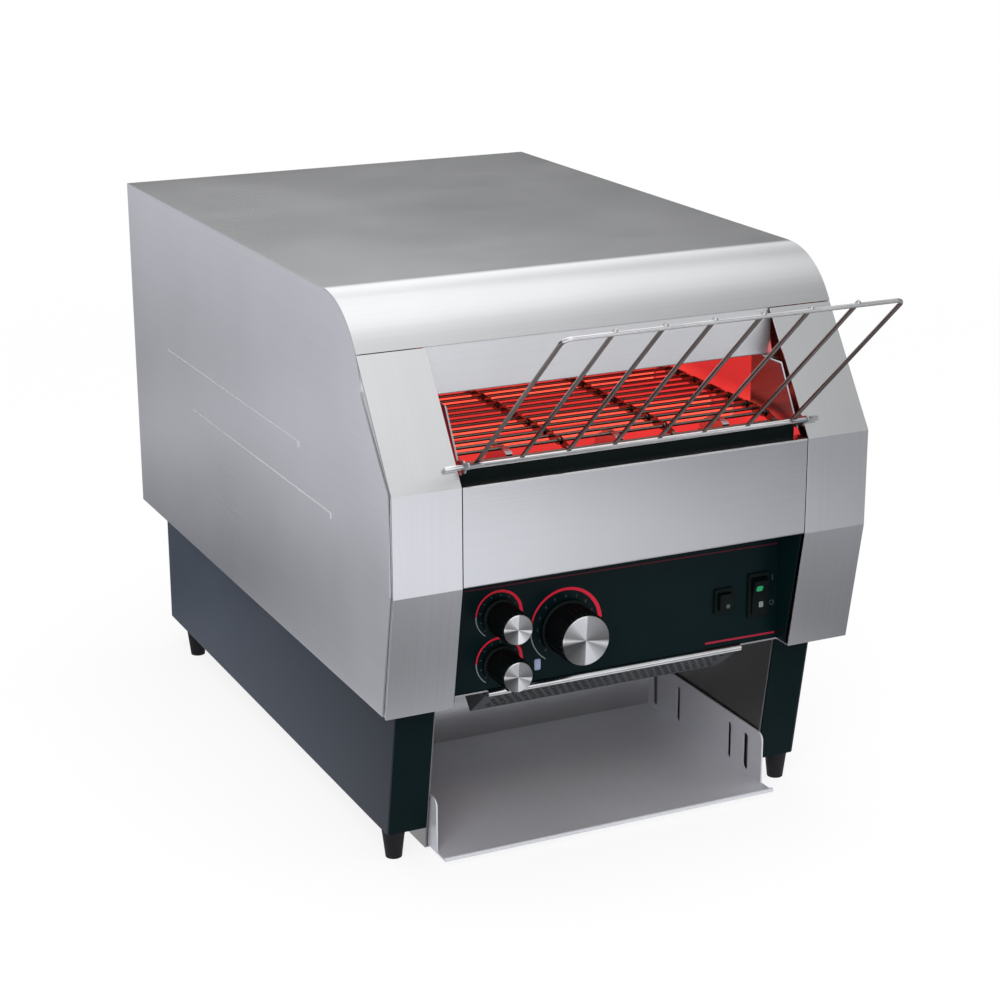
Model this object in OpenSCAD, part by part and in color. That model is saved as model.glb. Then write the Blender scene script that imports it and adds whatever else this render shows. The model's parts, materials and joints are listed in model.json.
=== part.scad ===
// Counter-top conveyor toaster for two slices side by side.
// +Z is up and the front faces -Y. The origin is on the table, midway in width and length.
// Bread goes in over the sloping wire rack, rides back on the belt between the heating
// elements, drops behind the belt and slides down a ramp to the tray at the front.

/* [Cabinet] */
// Width over the side panels
cab_w = 368; // [340:1:420]
// Depth from the front creases to the back edge
cab_d = 565; // [550:1:620]
// How far the middle of that depth lies behind the origin
cab_shift = 62.5; // [50:0.5:75]
// Height of the top above the table
cab_top = 407; // [400:1:430]
// Height of the lower edge of the cabinet
cab_bot = 128; // [122:0.5:129]
// Thickness of the sheet metal
sheet = 1.2; // [0.8:0.1:1.4]
// Outside radius of the hood's bend
hood_r = 65; // [45:1:75]
// Length of the hood's straight lip past the bend
lip_len = 6.5; // [4:0.5:9]
// Lean of the sloping face from upright, in degrees
face_lean = 34; // [31:0.5:36]
// Height of the upper crease of the front
crease_hi = 290; // [286:0.5:294]
// Height of the lower crease of the front
crease_lo = 219.5; // [212:0.5:226]
// How far the front tucks in below the lower crease
tuck = 17; // [8:0.5:22]
// Depth of the top cover's flange over the back panel
top_flange = 9; // [5:0.5:14]
// Gap at the seams between outside panels
seam = 0.7; // [0.4:0.1:1]
// How far the back panel is set in from the back edge
back_inset = 3; // [2.5:0.5:6]
// Half height of a pressed bead on a side panel
bead_r = 2.2; // [1.5:0.1:3]
// Height of the lower bead on a side panel
bead_z = 246; // [230:1:270]
// Distance between the two beads
bead_gap = 36; // [20:1:50]
// Length of a bead
bead_len = 300; // [150:1:380]
// Distance from the front creases back to the lower bead
bead_back = 110; // [60:1:140]
// How far the upper bead starts behind the lower one
bead_stagger = 60; // [0:1:90]

/* [Front] */
// Clear width between the two front trims
open_w = 267.8; // [262:0.2:272]
// Side return of a trim at the creases
trim_wrap = 6.5; // [4:0.5:10]
// Side return of a trim at the hood's lip
wrap_top = 15.5; // [10:0.5:20]
// Height of the upper panel's lower edge, which limits the bread
gate_z = 338; // [332:0.5:346]
// Depth of the upper panel's turned-back foot
gate_foot = 26; // [15:1:34]
// Distance from the front creases back to the control panel
ctl_setback = 32; // [28:0.5:36]
// Height of the control panel's lower edge
ctl_z = 130.4; // [130:0.1:132]

/* [Base] */
// Width over the base's sides
base_w = 335.4; // [320:0.2:338]
// Height of the base's underside, and so of the feet
base_bot = 21; // [19:0.5:24]
// Distance from the front creases back to the foot of the front pillars
base_setback = 58.5; // [54:0.5:64]
// Lean of the front pillars, in degrees
pillar_lean = 10; // [4:0.5:12]
// Distance from the cabinet's back edge to the back of the base
base_inset = 15; // [12:0.5:30]
// Width of the base side's bottom flange
base_flange = 24; // [20:1:28]
// Radius of a foot at the base
foot_r = 8.5; // [7:0.5:10]
// Radius of a foot on the table
foot_tip_r = 6; // [4:0.5:7]
// Distance from the front of the base to the front feet's centres
foot_fore = 9; // [8.5:0.5:30]
// Distance from the back of the base to the rear feet's centres
foot_aft = 44; // [20:1:80]

/* [Feed rack] */
// Radius of the rack's pivot rod
rack_rod_r = 2; // [1.5:0.1:2.5]
// Radius of the rack's other wires
wire_r = 1.5; // [1:0.1:1.9]
// Length of the rack from the pivot rod to its top bar
rack_len = 170.5; // [130:0.5:190]
// Rise of the rack above level, in degrees
rack_rise = 41.5; // [25:0.5:55]
// Width of the rack between the centres of its outer wires
rack_w = 244; // [200:2:250]
// Number of wires from the rod to the top bar
rack_wires = 8; // [5:1:10]
// How far the pivot rod runs out past the trims' inner edges
rod_over = 10; // [4:0.5:20]
// Height of the pivot rod
rod_z = 302.5; // [302.3:0.1:304]
// Radius of the rack's rounded corners
rack_corner = 6; // [3:0.5:10]

/* [Conveyor] */
// Pitch of the belt's cross rods
pitch = 12.7; // [12.4:0.1:12.9]
// Pitches along each straight run of the belt
belt_pitches = 32; // [28:1:32]
// Teeth on a belt sprocket
belt_teeth = 12; // [12:4:12]
// Radius of a cross rod
rod_r = 1.2; // [0.9:0.1:1.4]
// Height of the cross rods of the top run
belt_z = 300; // [298:0.5:300]
// Distance from the front creases back to the idler shaft
idler_back = 42; // [41:0.5:46]
// Radius of the two conveyor shafts
shaft_r = 5; // [4:0.5:6]
// Running clearance of a shaft in its bush
run_fit = 0.05; // [0.03:0.01:0.09]
// Thickness of a belt link
link_t = 1.2; // [0.8:0.1:1.4]
// Half height of a belt link
link_r = 2.9; // [2.2:0.1:3.2]
// Width of a belt sprocket
sprocket_w = 5; // [3:0.5:8]

/* [Heaters] */
// Radius of a heating element's tube
tube_r = 4; // [3:0.1:4.5]
// Distance between the two legs of an element
leg_gap = 32; // [24:1:40]
// Height of the upper elements
upper_z = 358; // [354:0.5:362]
// Number of upper elements
upper_count = 4; // [3:1:4]
// Distance from one upper element to the next
upper_step = 88; // [70:1:90]
// Distance from the left inner wall to the centre of an element's bend
bend_in = 30; // [24:1:60]
// Height of the lower elements
lower_z = 283; // [279:0.5:285]
// Number of lower elements
lower_count = 3; // [2:1:3]
// Distance from one lower element to the next
lower_step = 120; // [90:1:124]

/* [Ramp and tray] */
// Slope of the ramp, in degrees
ramp_slope = 27; // [24:0.5:28]
// Bend radius at the ramp's back
ramp_r = 60; // [50:1:64]
// Height of the ramp's front edge above the tray's walls
ramp_step = 4.5; // [4.3:0.1:8]
// Length of the tray from its front edge to its back wall
tray_d = 192.5; // [150:0.5:200]
// How far the tray's floor runs out before its side walls
tray_lip = 16.5; // [5:0.5:25]
// Height of the tray's side walls
tray_wall = 41; // [30:0.5:43]
// How far the tray's front edge lies ahead of the pillars' feet
tray_fore = 28; // [20:0.5:40]
// Gap between the tray and the inner walls
tray_gap = 1.4; // [0.8:0.1:2.5]
// Height of the tray's underside
tray_z = 5.5; // [4.5:0.1:8]
// Width of the slots in the tray's walls
slot_w = 5; // [3:0.5:7]

/* [Controls] */
// Radius of a small knob's cap
knob_r = 10.8; // [8:0.1:12]
// Radius of the large knob's cap
big_knob_r = 18; // [14:0.5:20]
// How far the knobs stand out from the control panel
knob_out = 31.5; // [20:0.5:34]
// Left-hand place of the two small knobs
heat_x = -92.3; // [-100:0.5:-85]
// Height of the upper small knob
heat_hi_z = 183.4; // [182:0.2:188]
// Height of the lower small knob
heat_lo_z = 149; // [146.5:0.2:149]
// Left-hand place of the large knob
speed_x = -40.5; // [-50:0.5:-30]
// Height of the large knob
speed_z = 167; // [160:0.5:180]
// Place of the power switch
power_x = 116; // [110:0.5:118]
// Place of the saver button
saver_x = 87; // [70:0.5:94]
// Height of the power switch and the saver button
switch_z = 166; // [155:0.5:180]
// Place of the indicator lamp
lamp_x = -62.5; // [-66:0.5:-60]
// Height of the indicator lamp
lamp_z = 142.3; // [138:0.2:146]
// Half length of the bright strip and the guard below the control panel
guard_half = 101.7; // [80:0.1:110]
// Depth of the sloping guard
guard_d = 27; // [20:0.5:34]
// Drop of the sloping guard
guard_drop = 22; // [14:0.5:26]
// Radius of a hole in the guard
perf_r = 2; // [1.2:0.1:2.4]

/* [Drive] */
// Pitch of the drive chain
chain_pitch = 6.35; // [6.2:0.05:6.4]
// Teeth on each chain sprocket
chain_teeth = 16; // [12:4:16]
// Pitches along each straight run of the chain
chain_pitches = 30; // [28:1:31]
// Radius of a chain roller
roller_r = 1.65; // [1.3:0.05:1.7]
// How far the chain runs outside the middle of its side channel
chain_shift = 0; // [-2:0.1:2]
// Radius of the motor
motor_r = 32; // [24:1:34]
// Length of the motor behind its gearbox
motor_len = 70; // [50:1:90]
// Side of the square fan
fan_side = 80; // [70:1:90]
// Depth of the fan
fan_d = 25; // [20:1:30]
// Number of fan blades
fan_blades = 7; // [5:1:9]
// Radius of the cord's hole through its bushing
cord_r = 5.5; // [4:0.1:6.5]

/* [Hidden] */
$fn = 48;

steel = [0.78, 0.78, 0.80];
bright = [0.90, 0.90, 0.92];
slate = [0.25, 0.27, 0.31];
black = [0.08, 0.09, 0.09];
glow = [0.85, 0.20, 0.12];

clear = 0.3;                                   // gap between neighbouring bodies
front_y = cab_shift - cab_d / 2;               // the front creases
back_y = front_y + cab_d;                      // the cabinet's back edge
half_w = cab_w / 2;
hood_z = cab_top - hood_r;                     // centre of the hood's bend
lean_x = tan(face_lean);
function lean_y(z) = front_y + (z - crease_hi) * lean_x;
hood_end_z = hood_z + hood_r * sin(face_lean);
hood_end_y = lean_y(hood_end_z);
hood_y = hood_end_y + hood_r * cos(face_lean); // centre of the hood's bend
lip_z = hood_end_z - lip_len * cos(face_lean);
lip_y = lean_y(lip_z);
toe_y = front_y + tuck;                        // the front's lower edge
panel_y = back_y - back_inset;                 // outer face of the back panel
floor_z = cab_bot + sheet;

wall_x = open_w / 2 + 2.1;                     // inner faces of the inner walls
wall_out = wall_x + sheet;
guide_x = wall_x - 6.2;                        // inner faces of the throat guides
trim_x = open_w / 2;                           // inner edges of the trims
ctl_y = front_y + ctl_setback;                 // front face of the control panel
ctl_back = ctl_y + sheet;
ctl_half = trim_x - seam;

base_half = base_w / 2;
base_in = base_half - sheet;
base_y0 = front_y + base_setback;              // foot of the pillars
base_y1 = back_y - base_inset;                 // back of the base
base_top = floor_z + 0.8;
function pillar_y(z) = base_y0 - (z - base_bot) * tan(pillar_lean);
pan_z = base_bot + sheet;
pan_top = pan_z + sheet;

baffle_y = front_y + 12.6;                     // front face of the baffle

belt_half = guide_x - 2.8;
idler_y = front_y + idler_back;
drive_y = idler_y + belt_pitches * pitch;
mid_y = (idler_y + drive_y) / 2;
belt_r = pitch / 2 / sin(180 / belt_teeth);
shaft_z = belt_z - belt_r;
belt_low = shaft_z - belt_r;                   // rods of the return run
box_back = ctl_y + 78;                         // back of the control box
shield_z = belt_low - rod_r - 14;              // top of the heat shield

chain_r = chain_pitch / 2 / sin(180 / chain_teeth);
pinion_z = shaft_z - chain_pitches * chain_pitch;
chain_x = (wall_out + base_in) / 2 + chain_shift;

rod_y = lean_y(rod_z) - (rack_rod_r + clear + 0.05) / cos(face_lean);
tray_y0 = base_y0 - tray_fore;
tray_y1 = tray_y0 + tray_d;
tray_half = wall_x - tray_gap;
runner_w = 13;                                 // width of the ledge that carries the tray
ramp_y0 = tray_y1 - 3;                         // front edge of the ramp, just over the tray
ramp_z = tray_z + tray_wall + ramp_step;
ramp_y1 = panel_y - sheet - 5;                 // upright back of the ramp
ramp_turn = 90 - ramp_slope;
ramp_arc_y = ramp_y1 - ramp_r + ramp_r * cos(ramp_turn);
ramp_arc_z = ramp_z + (ramp_arc_y - ramp_y0) * tan(ramp_slope);
ramp_top_z = ramp_arc_z + ramp_r * sin(ramp_turn);
ramp_back_z = shaft_z + belt_r + 42.8;          // top of the upright, above the belt

fan_x = -(wall_x - 64);
fan_z = pan_top + 10 + fan_side / 2;
fan_bore = fan_side / 2 - 3;
fan_y = base_y1 - sheet;                       // mounting face of the fan
cord_x = wall_x - 26;
cord_z = 62;
pan_y0 = ramp_y0 + 61;                         // front edge of the base pan
relay_x = -(wall_x - 41);                      // middle of the relay on the base pan
relay_y = ramp_y0 + 135;
terminal_back = 46;                            // terminal block's middle to the base's back

// ---- helpers -------------------------------------------------------------

// Extrudes an outline drawn in the Y-Z plane from x0 to x1.
module along_x(x0, x1) {
    translate([x0, 0, 0]) rotate([90, 0, 90]) linear_extrude(x1 - x0) children();
}

// Extrudes an outline drawn in the X-Z plane from y0 to y1.
module along_y(y0, y1) {
    translate([0, y1, 0]) rotate([90, 0, 0]) linear_extrude(y1 - y0) children();
}

module rod_x(x0, x1, y, z, r) {
    translate([x0, y, z]) rotate([0, 90, 0]) cylinder(r = r, h = x1 - x0);
}

module rod_y(y0, y1, x, z, r) {
    translate([x, y1, z]) rotate([90, 0, 0]) cylinder(r = r, h = y1 - y0);
}

module block(x0, x1, y0, y1, z0, z1) {
    translate([x0, y0, z0]) cube([x1 - x0, y1 - y0, z1 - z0]);
}

// Draws on the left half when side is -1 and on the right half when it is 1.
module on_side(side) {
    if (side > 0) children();
    else mirror([1, 0, 0]) children();
}

function unit(v) = v / norm(v);
function left_of(v) = [-v[1], v[0]];
function run_in(p, i) = i == 0 ? unit(p[1] - p[0]) : unit(p[i] - p[i - 1]);
function run_out(p, i) = i == len(p) - 1 ? run_in(p, i) : unit(p[i + 1] - p[i]);
function miter(p, i, t) =
    let (a = left_of(run_in(p, i)), b = left_of(run_out(p, i))) p[i] + t * (a + b) / (1 + a * b);

// A folded sheet: the line p with thickness t on its left side.
module fold(p, t = sheet) {
    polygon(concat(p, [for (i = [len(p) - 1:-1:0]) miter(p, i, t)]));
}

// A slot with round ends, centred, of width w and height h.
module slot2d(w, h) {
    square([w, h - w], center = true);
    for (s = [-1, 1]) translate([0, s * (h - w) / 2]) circle(w / 2, $fn = 24);
}

// A rectangle with round corners, centred.
module round2d(w, h, r) {
    square([w - 2 * r, h], center = true);
    square([w, h - 2 * r], center = true);
    for (i = [-1, 1], j = [-1, 1])
        translate([i * (w / 2 - r), j * (h / 2 - r)]) circle(r, $fn = 24);
}

// Pins of a closed loop over two equal wheels, the first wheel at the origin and the second
// n pitches along: pin i of n straight pitches, t teeth, pitch p and pitch radius r.
function loop_pin(i, n, t, p, r) =
    i <= n ? [i * p, r] :
    i <= n + t / 2 ? [n * p + r * sin((i - n) * 360 / t), r * cos((i - n) * 360 / t)] :
    i <= 2 * n + t / 2 ? [(2 * n + t / 2 - i) * p, -r] :
    let (a = (i - 2 * n - t / 2) * 360 / t) [-r * sin(a), -r * cos(a)];
function loop_count(n, t) = 2 * n + t;

// One link between two pins p apart, with a hole for each pin.
module link2d(p, r, hole) {
    difference() {
        union() {
            circle(r, $fn = 24);
            translate([p, 0]) circle(r, $fn = 24);
            translate([0, -r]) square([p, 2 * r]);
        }
        circle(hole, $fn = 24);
        translate([p, 0]) circle(hole, $fn = 24);
    }
}

// The link from pin i to the next one, laid in place.
module placed_link(i, n, t, p, r, plate_r, hole) {
    a = loop_pin(i, n, t, p, r);
    b = loop_pin((i + 1) % loop_count(n, t), n, t, p, r);
    translate(a) rotate(atan2(b[1] - a[1], b[0] - a[0])) link2d(p, plate_r, hole);
}

// A toothed wheel for pins of radius pin_r, with a bore.
module wheel2d(teeth, r, pin_r, tip, bore) {
    difference() {
        circle(r + tip);
        for (k = [0:teeth - 1]) rotate(k * 360 / teeth) translate([r, 0]) {
            circle(pin_r + clear + 0.05, $fn = 24);
            translate([0, -pin_r - clear - 0.05]) square([tip + 2, 2 * (pin_r + clear + 0.05)]);
        }
        circle(bore);
    }
}

// ---- base ----------------------------------------------------------------

module base_side(side) {
    color(slate) on_side(side) {
        along_x(base_in, base_half) polygon([
            [pillar_y(base_bot), base_bot], [pillar_y(base_top), base_top],
            [base_y1, base_top], [base_y1, base_bot]]);
        block(base_half - base_flange, base_in, base_y0 + sheet, base_y1, base_bot, pan_z);
    }
}

module front_pillar(side) {
    color(black) on_side(side) {
        along_x(wall_out, base_in) polygon([
            [pillar_y(base_bot), base_bot], [pillar_y(cab_bot), cab_bot],
            [pillar_y(cab_bot) + sheet, cab_bot], [pillar_y(base_bot) + sheet, base_bot]]);
        block(wall_out, base_half - base_flange, base_y0 + sheet, base_y0 + 22, base_bot, pan_z);
    }
}

module base_pan() {
    color(slate) difference() {
        block(-base_in, base_in, pan_y0, base_y1 - sheet, pan_z, pan_top);
        for (i = [-3:3], j = [0:3])
            translate([i * 30, base_y1 - 45 - j * 22, 0]) linear_extrude(pan_top + 1)
                rotate(90) slot2d(4, 22);
    }
}

module base_back() {
    color(slate) along_y(base_y1 - sheet, base_y1) difference() {
        translate([-base_in, pan_z]) square([2 * base_in, floor_z - pan_z]);
        translate([fan_x, fan_z]) circle(fan_bore);
        translate([cord_x, cord_z]) circle(cord_r + 2.6);
    }
}

module feet() {
    color(black) for (s = [-1, 1], y = [base_y0 + foot_fore, base_y1 - foot_aft])
        translate([s * (base_half - foot_r - 0.2), y, 0]) difference() {
            cylinder(r1 = foot_tip_r, r2 = foot_r, h = base_bot);
            translate([0, 0, -1]) cylinder(r = foot_tip_r / 2, h = 5);
        }
}

// ---- inner walls and ramp ------------------------------------------------

element_ys = [for (i = [0:upper_count - 1])
    mid_y + (i - (upper_count - 1) / 2) * upper_step];
lower_ys = [for (i = [0:lower_count - 1])
    mid_y + (i - (lower_count - 1) / 2) * lower_step];
element_legs = concat(
    [for (y = element_ys, s = [-1, 1]) [y + s * leg_gap / 2, upper_z]],
    [for (y = lower_ys, s = [-1, 1]) [y + s * leg_gap / 2, lower_z]]);
bush_r = shaft_r + 2.5;

module wall2d(right) {
    front = [
        [base_y0 + 3.5, tray_z - clear], [pillar_y(base_bot) + sheet, base_bot],
        [pillar_y(cab_bot) + sheet, cab_bot],
        [ctl_back, cab_bot], [ctl_back, crease_lo], [front_y + 15, crease_lo + 14],
        [front_y + 15, crease_hi - sheet], [lean_y(gate_z) + 22, gate_z],
        [lip_y + 12, lip_z], [hood_y, cab_top - sheet]];
    back = [
        [panel_y - sheet, cab_top - sheet], [panel_y - sheet, floor_z],
        [base_y1 - sheet, floor_z], [base_y1 - sheet, pan_top], [tray_y1 + 2, pan_top],
        [tray_y1 + 2, tray_z - clear]];
    difference() {
        polygon(concat(front, back));
        for (y = [idler_y, drive_y]) translate([y, shaft_z]) circle(bush_r);
        if (right) {
            for (p = element_legs) translate(p) circle(tube_r + 1.2);
            translate([drive_y, pinion_z]) circle(shaft_r + 3);
        }
    }
}

module inner_wall(side) {
    color(steel) on_side(side) {
        along_x(wall_x, wall_out) wall2d(side > 0);
        block(wall_x - runner_w, wall_out, base_y0 + 3.5, tray_y1 + 2,
            tray_z - clear - sheet, tray_z - clear);
    }
}

module ramp() {
    arc = [for (k = [0:10]) let (a = ramp_turn * k / 10)
        [ramp_y1 - ramp_r + ramp_r * cos(a), ramp_top_z - ramp_r * sin(a)]];
    color(steel) along_x(-wall_x, wall_x)
        fold(concat([[ramp_y1, ramp_back_z]], arc,
            [[ramp_y0, ramp_z], [ramp_y0 + 1.5, ramp_z - 4]]));
}

// ---- outer shell ---------------------------------------------------------

// The space under the flat top, the bend of radius r and the lip, run on by past at its ends.
module under_hood2d(r, past) {
    out = [-cos(face_lean), sin(face_lean)];
    down = [-sin(face_lean), -cos(face_lean)];
    end = (lip_len + past) * down;
    translate([hood_y, hood_z]) {
        translate([0, -past]) square([back_y - hood_y + past, r + past]);
        intersection() {
            circle(r, $fn = 180);
            polygon([[0, 0], 2 * hood_r * [0.05, 1], 2 * hood_r * [-1, 1],
                2 * hood_r * (out + 0.05 * down)]);
        }
        polygon([-past * out, r * out, r * out + end, end - past * out]);
    }
}

module top_cover() {
    color(steel) {
        along_x(-half_w, half_w) difference() {
            under_hood2d(hood_r, 0);
            under_hood2d(hood_r - sheet, 1);
        }
        block(-half_w + sheet + clear, half_w - sheet - clear, panel_y + clear, back_y,
            cab_top - sheet - top_flange, cab_top - sheet / 2);
    }
}

module side_panel(side) {
    edge_y = front_y + trim_wrap;
    arc_r = hood_r - sheet - 0.05;
    color(steel) on_side(side) {
        along_x(half_w - sheet, half_w) {
            polygon([
                [back_y, cab_bot], [back_y, cab_top - sheet], [hood_y, cab_top - sheet],
                [hood_y, hood_z],
                [hood_y - arc_r * cos(face_lean), hood_z + arc_r * sin(face_lean)],
                [lip_y + wrap_top, lip_z], [edge_y, crease_hi], [edge_y, crease_lo],
                [toe_y + trim_wrap, cab_bot]]);
            translate([hood_y, hood_z]) circle(arc_r, $fn = 180);
        }
        block(base_half, half_w - sheet, pillar_y(cab_bot), base_y1, cab_bot, floor_z);
        for (k = [0, 1]) translate([half_w, front_y + bead_back + k * bead_stagger,
                bead_z + k * bead_gap])
            intersection() {
                rotate([-90, 0, 0]) cylinder(r = bead_r, h = bead_len);
                translate([0, 0, -bead_r]) cube([0.5, bead_len, 2 * bead_r]);
            }
    }
}

module back_panel() {
    color(steel) along_y(panel_y - sheet, panel_y) difference() {
        translate([sheet - half_w, floor_z])
            square([2 * (half_w - sheet), cab_top - sheet - floor_z]);
        for (s = [-1, 1], k = [0:6]) translate([s * 70, cab_top - 50 - k * 12])
            rotate(90) slot2d(4, 72);
        for (s = [-1, 1], k = [0:4]) translate([s * (wall_out + 20), cab_bot + 50 + k * 12])
            rotate(90) slot2d(4, 28);
    }
    color(steel) block(sheet - half_w, half_w - sheet, base_y1, panel_y - sheet,
        cab_bot, floor_z);
}

module back_screws() {
    screw_zs = [cab_bot + 14, (cab_bot + cab_top) / 2, cab_top - 24];
    color(bright) for (s = [-1, 1], z = screw_zs) translate([s * (half_w - 14), panel_y, z])
        rotate([-90, 0, 0]) difference() {
            cylinder(r1 = 3.6, r2 = 2.8, h = 1.9);
            translate([0, 0, 1]) cube([4.4, 0.9, 2], center = true);
            translate([0, 0, 1]) cube([0.9, 4.4, 2], center = true);
        }
}

module front_trim(side) {
    face = [[lip_y, lip_z - seam], [front_y, crease_hi], [front_y, crease_lo],
        [toe_y, cab_bot]];
    hem_y = front_y + trim_wrap - seam;
    color(steel) on_side(side) {
        along_x(trim_x, half_w) fold(face);
        along_x(half_w - 2 * sheet, half_w - sheet) polygon(concat(face, [
            [toe_y + trim_wrap - seam, cab_bot], [hem_y, crease_lo], [hem_y, crease_hi],
            [lip_y + wrap_top - seam, lip_z - seam]]));
        block(trim_x, half_w - 2 * sheet, toe_y + sheet / 2, ctl_back, cab_bot, floor_z);
        block(wall_out, half_w - 2 * sheet, ctl_back, pillar_y(floor_z), cab_bot, floor_z);
        block(wall_out, base_in, pillar_y(floor_z), pillar_y(floor_z) + 12, cab_bot, floor_z);
    }
}

module front_panel() {
    color(steel) along_x(-ctl_half, ctl_half)
        fold([[baffle_y, crease_hi], [front_y, crease_hi], [front_y, crease_lo],
            [ctl_back, crease_lo]]);
}

module front_baffle() {
    color(black) block(clear - guide_x, guide_x - clear, baffle_y, baffle_y + sheet, shield_z,
        rod_z - rack_rod_r - 0.5);
}

module throat_guide(side) {
    s_u = [-cos(rack_rise), sin(rack_rise)];
    s_n = [-sin(rack_rise), -cos(rack_rise)];
    pin = [rod_y, rod_z] + 7.5 * s_u + (wire_r + clear + 1.2) * s_n;
    color(steel) on_side(side) {
        along_x(guide_x, guide_x + sheet) difference() {
            union() {
                polygon([
                    [lean_y(crease_hi + 12) + 1, crease_hi + 6], [lean_y(gate_z) + 1, gate_z],
                    [lean_y(gate_z) + 40, gate_z], [lean_y(gate_z) + 40, crease_hi + 6]]);
                translate([rod_y, rod_z]) circle(rack_rod_r + 2.6);
                translate([rod_y, rod_z]) rotate(atan2(pin[1] - rod_z, pin[0] - rod_y))
                    translate([0, -2.4]) square([norm(pin - [rod_y, rod_z]), 4.8]);
                translate(pin) circle(2.4, $fn = 24);
                translate([rod_y, rod_z - 3]) square([8, 6]);
            }
            translate([rod_y, rod_z]) circle(rack_rod_r + run_fit);
        }
        rod_x(rack_w / 2 - wire_r - 1, guide_x + sheet / 2, pin[0], pin[1], 1.2, $fn = 24);
        block(guide_x, wall_x, lean_y(gate_z) + 14, lean_y(gate_z) + 40, gate_z - sheet,
            gate_z);
    }
}

module upper_panel() {
    y0 = lip_y + lean_x + sheet / cos(face_lean) + 0.1;
    color(steel) along_x(-wall_x, wall_x) fold([
        [y0 + 9, lip_z + 1], [y0, lip_z + 1], [y0, gate_z], [lip_y + gate_foot, gate_z]]);
}

// ---- toasting chamber ----------------------------------------------------

module upper_reflector() {
    y0 = lip_y + gate_foot + 2;
    y1 = drive_y + 6;
    color(steel) along_x(-wall_x, wall_x) fold([
        [y1, upper_z - 6], [y1 - 8, upper_z + 24], [y0 + 8, upper_z + 24],
        [y0, upper_z - 6]]);
}

module lower_reflector() {
    y0 = idler_y + belt_r + 8;
    y1 = drive_y - belt_r - 8;
    color(steel) along_x(-wall_x, wall_x) fold([
        [y1 - 1, lower_z - 10], [y1 - 6, lower_z - 19], [y0 + 6, lower_z - 19],
        [y0 + 1, lower_z - 10]]);
}

module heat_shield() {
    color(steel) along_x(-wall_x, wall_x) fold([[drive_y + 4, shield_z - 8],
        [drive_y, shield_z], [baffle_y + sheet, shield_z]]);
}

// One hairpin element across the width, with its two ends through the right-hand wall.
module element(y, z) {
    bend_x = bend_in - wall_x;
    tail_x = wall_out + 9;                     // where the sheath ends and the pins begin
    for (s = [-1, 1]) {
        rod_x(bend_x, tail_x, y + s * leg_gap / 2, z, tube_r);
        rod_x(tail_x, tail_x + 7, y + s * leg_gap / 2, z, tube_r / 2);
    }
    translate([bend_x, y, z]) rotate([0, 0, 90]) rotate_extrude(angle = 180)
        translate([leg_gap / 2, 0]) circle(tube_r, $fn = 32);
}

module upper_elements() {
    color(glow) for (y = element_ys) element(y, upper_z);
}

module lower_elements() {
    color(glow) for (y = lower_ys) element(y, lower_z);
}

module element_bushings() {
    color("ivory") for (p = element_legs) difference() {
        union() {
            rod_x(wall_x - 1, wall_out, p[0], p[1], tube_r + 1.1);
            rod_x(wall_out, wall_out + 5, p[0], p[1], tube_r + 3);
        }
        rod_x(wall_x - 2, wall_out + 6, p[0], p[1], tube_r + 0.05);
    }
}

// ---- controls ------------------------------------------------------------

knob_spots = [[heat_x, heat_hi_z], [heat_x, heat_lo_z], [speed_x, speed_z]];
knob_shaft_r = 3;
vent_step = 20;                                // between the control box's vents
neck_r = 4.8;                                  // threaded neck of a control
cap_t = 1.6;                                   // bright cap of a knob
panel_gap = 1.8;                               // between a knob's skirt and the panel
strip_r = 2.4;                                 // half height of the bright strip
strip_z = ctl_z - clear - strip_r;
rocker_w = 12;
rocker_h = 27;
button_w = 10;
button_h = 12;
bezel_rim = 2;
housing_d = 18;                                // switch housing behind the panel
pin_in = 2;                                    // the rocker's pin behind the panel's face
pin_r = 1.2;
rocker_tilt = 7;

module control_panel() {
    color(black) {
        along_y(ctl_y, ctl_back) difference() {
            translate([-ctl_half, ctl_z]) square([2 * ctl_half, crease_lo - clear - ctl_z]);
            for (p = knob_spots) translate(p) circle(neck_r + 0.2);
            translate([power_x, switch_z])
                square([rocker_w + 3.8, rocker_h + 4.8], center = true);
            translate([saver_x, switch_z])
                square([button_w + 3.8, button_h + 3.8], center = true);
            translate([lamp_x, lamp_z]) square(5.8, center = true);
        }
        for (s = [-1, 1]) on_side(s) along_x(ctl_half - sheet, ctl_half) polygon([
            [ctl_y, ctl_z], [toe_y + sheet + 1.4, ctl_z],
            [front_y + sheet + 1.4, crease_lo - clear], [ctl_y, crease_lo - clear]]);
    }
}

module control_box() {
    color(steel) difference() {
        union() {
            block(-wall_x, wall_x, ctl_back, box_back, cab_bot, floor_z);
            block(-wall_x, wall_x, box_back - sheet, box_back, floor_z, shield_z - sheet);
        }
        for (i = [-4:4]) block(i * vent_step - vent_step * 0.3, i * vent_step + vent_step * 0.3,
            ctl_back + 8, ctl_back + guard_d + 12.8, cab_bot - 1, floor_z + 1);
    }
}

module panel_strip() {
    color(bright) along_x(-guard_half, guard_half) {
        translate([ctl_back - strip_r, strip_z]) circle(strip_r, $fn = 32);
        translate([ctl_back - strip_r, strip_z - strip_r]) square([strip_r, 2 * strip_r]);
    }
}

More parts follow.
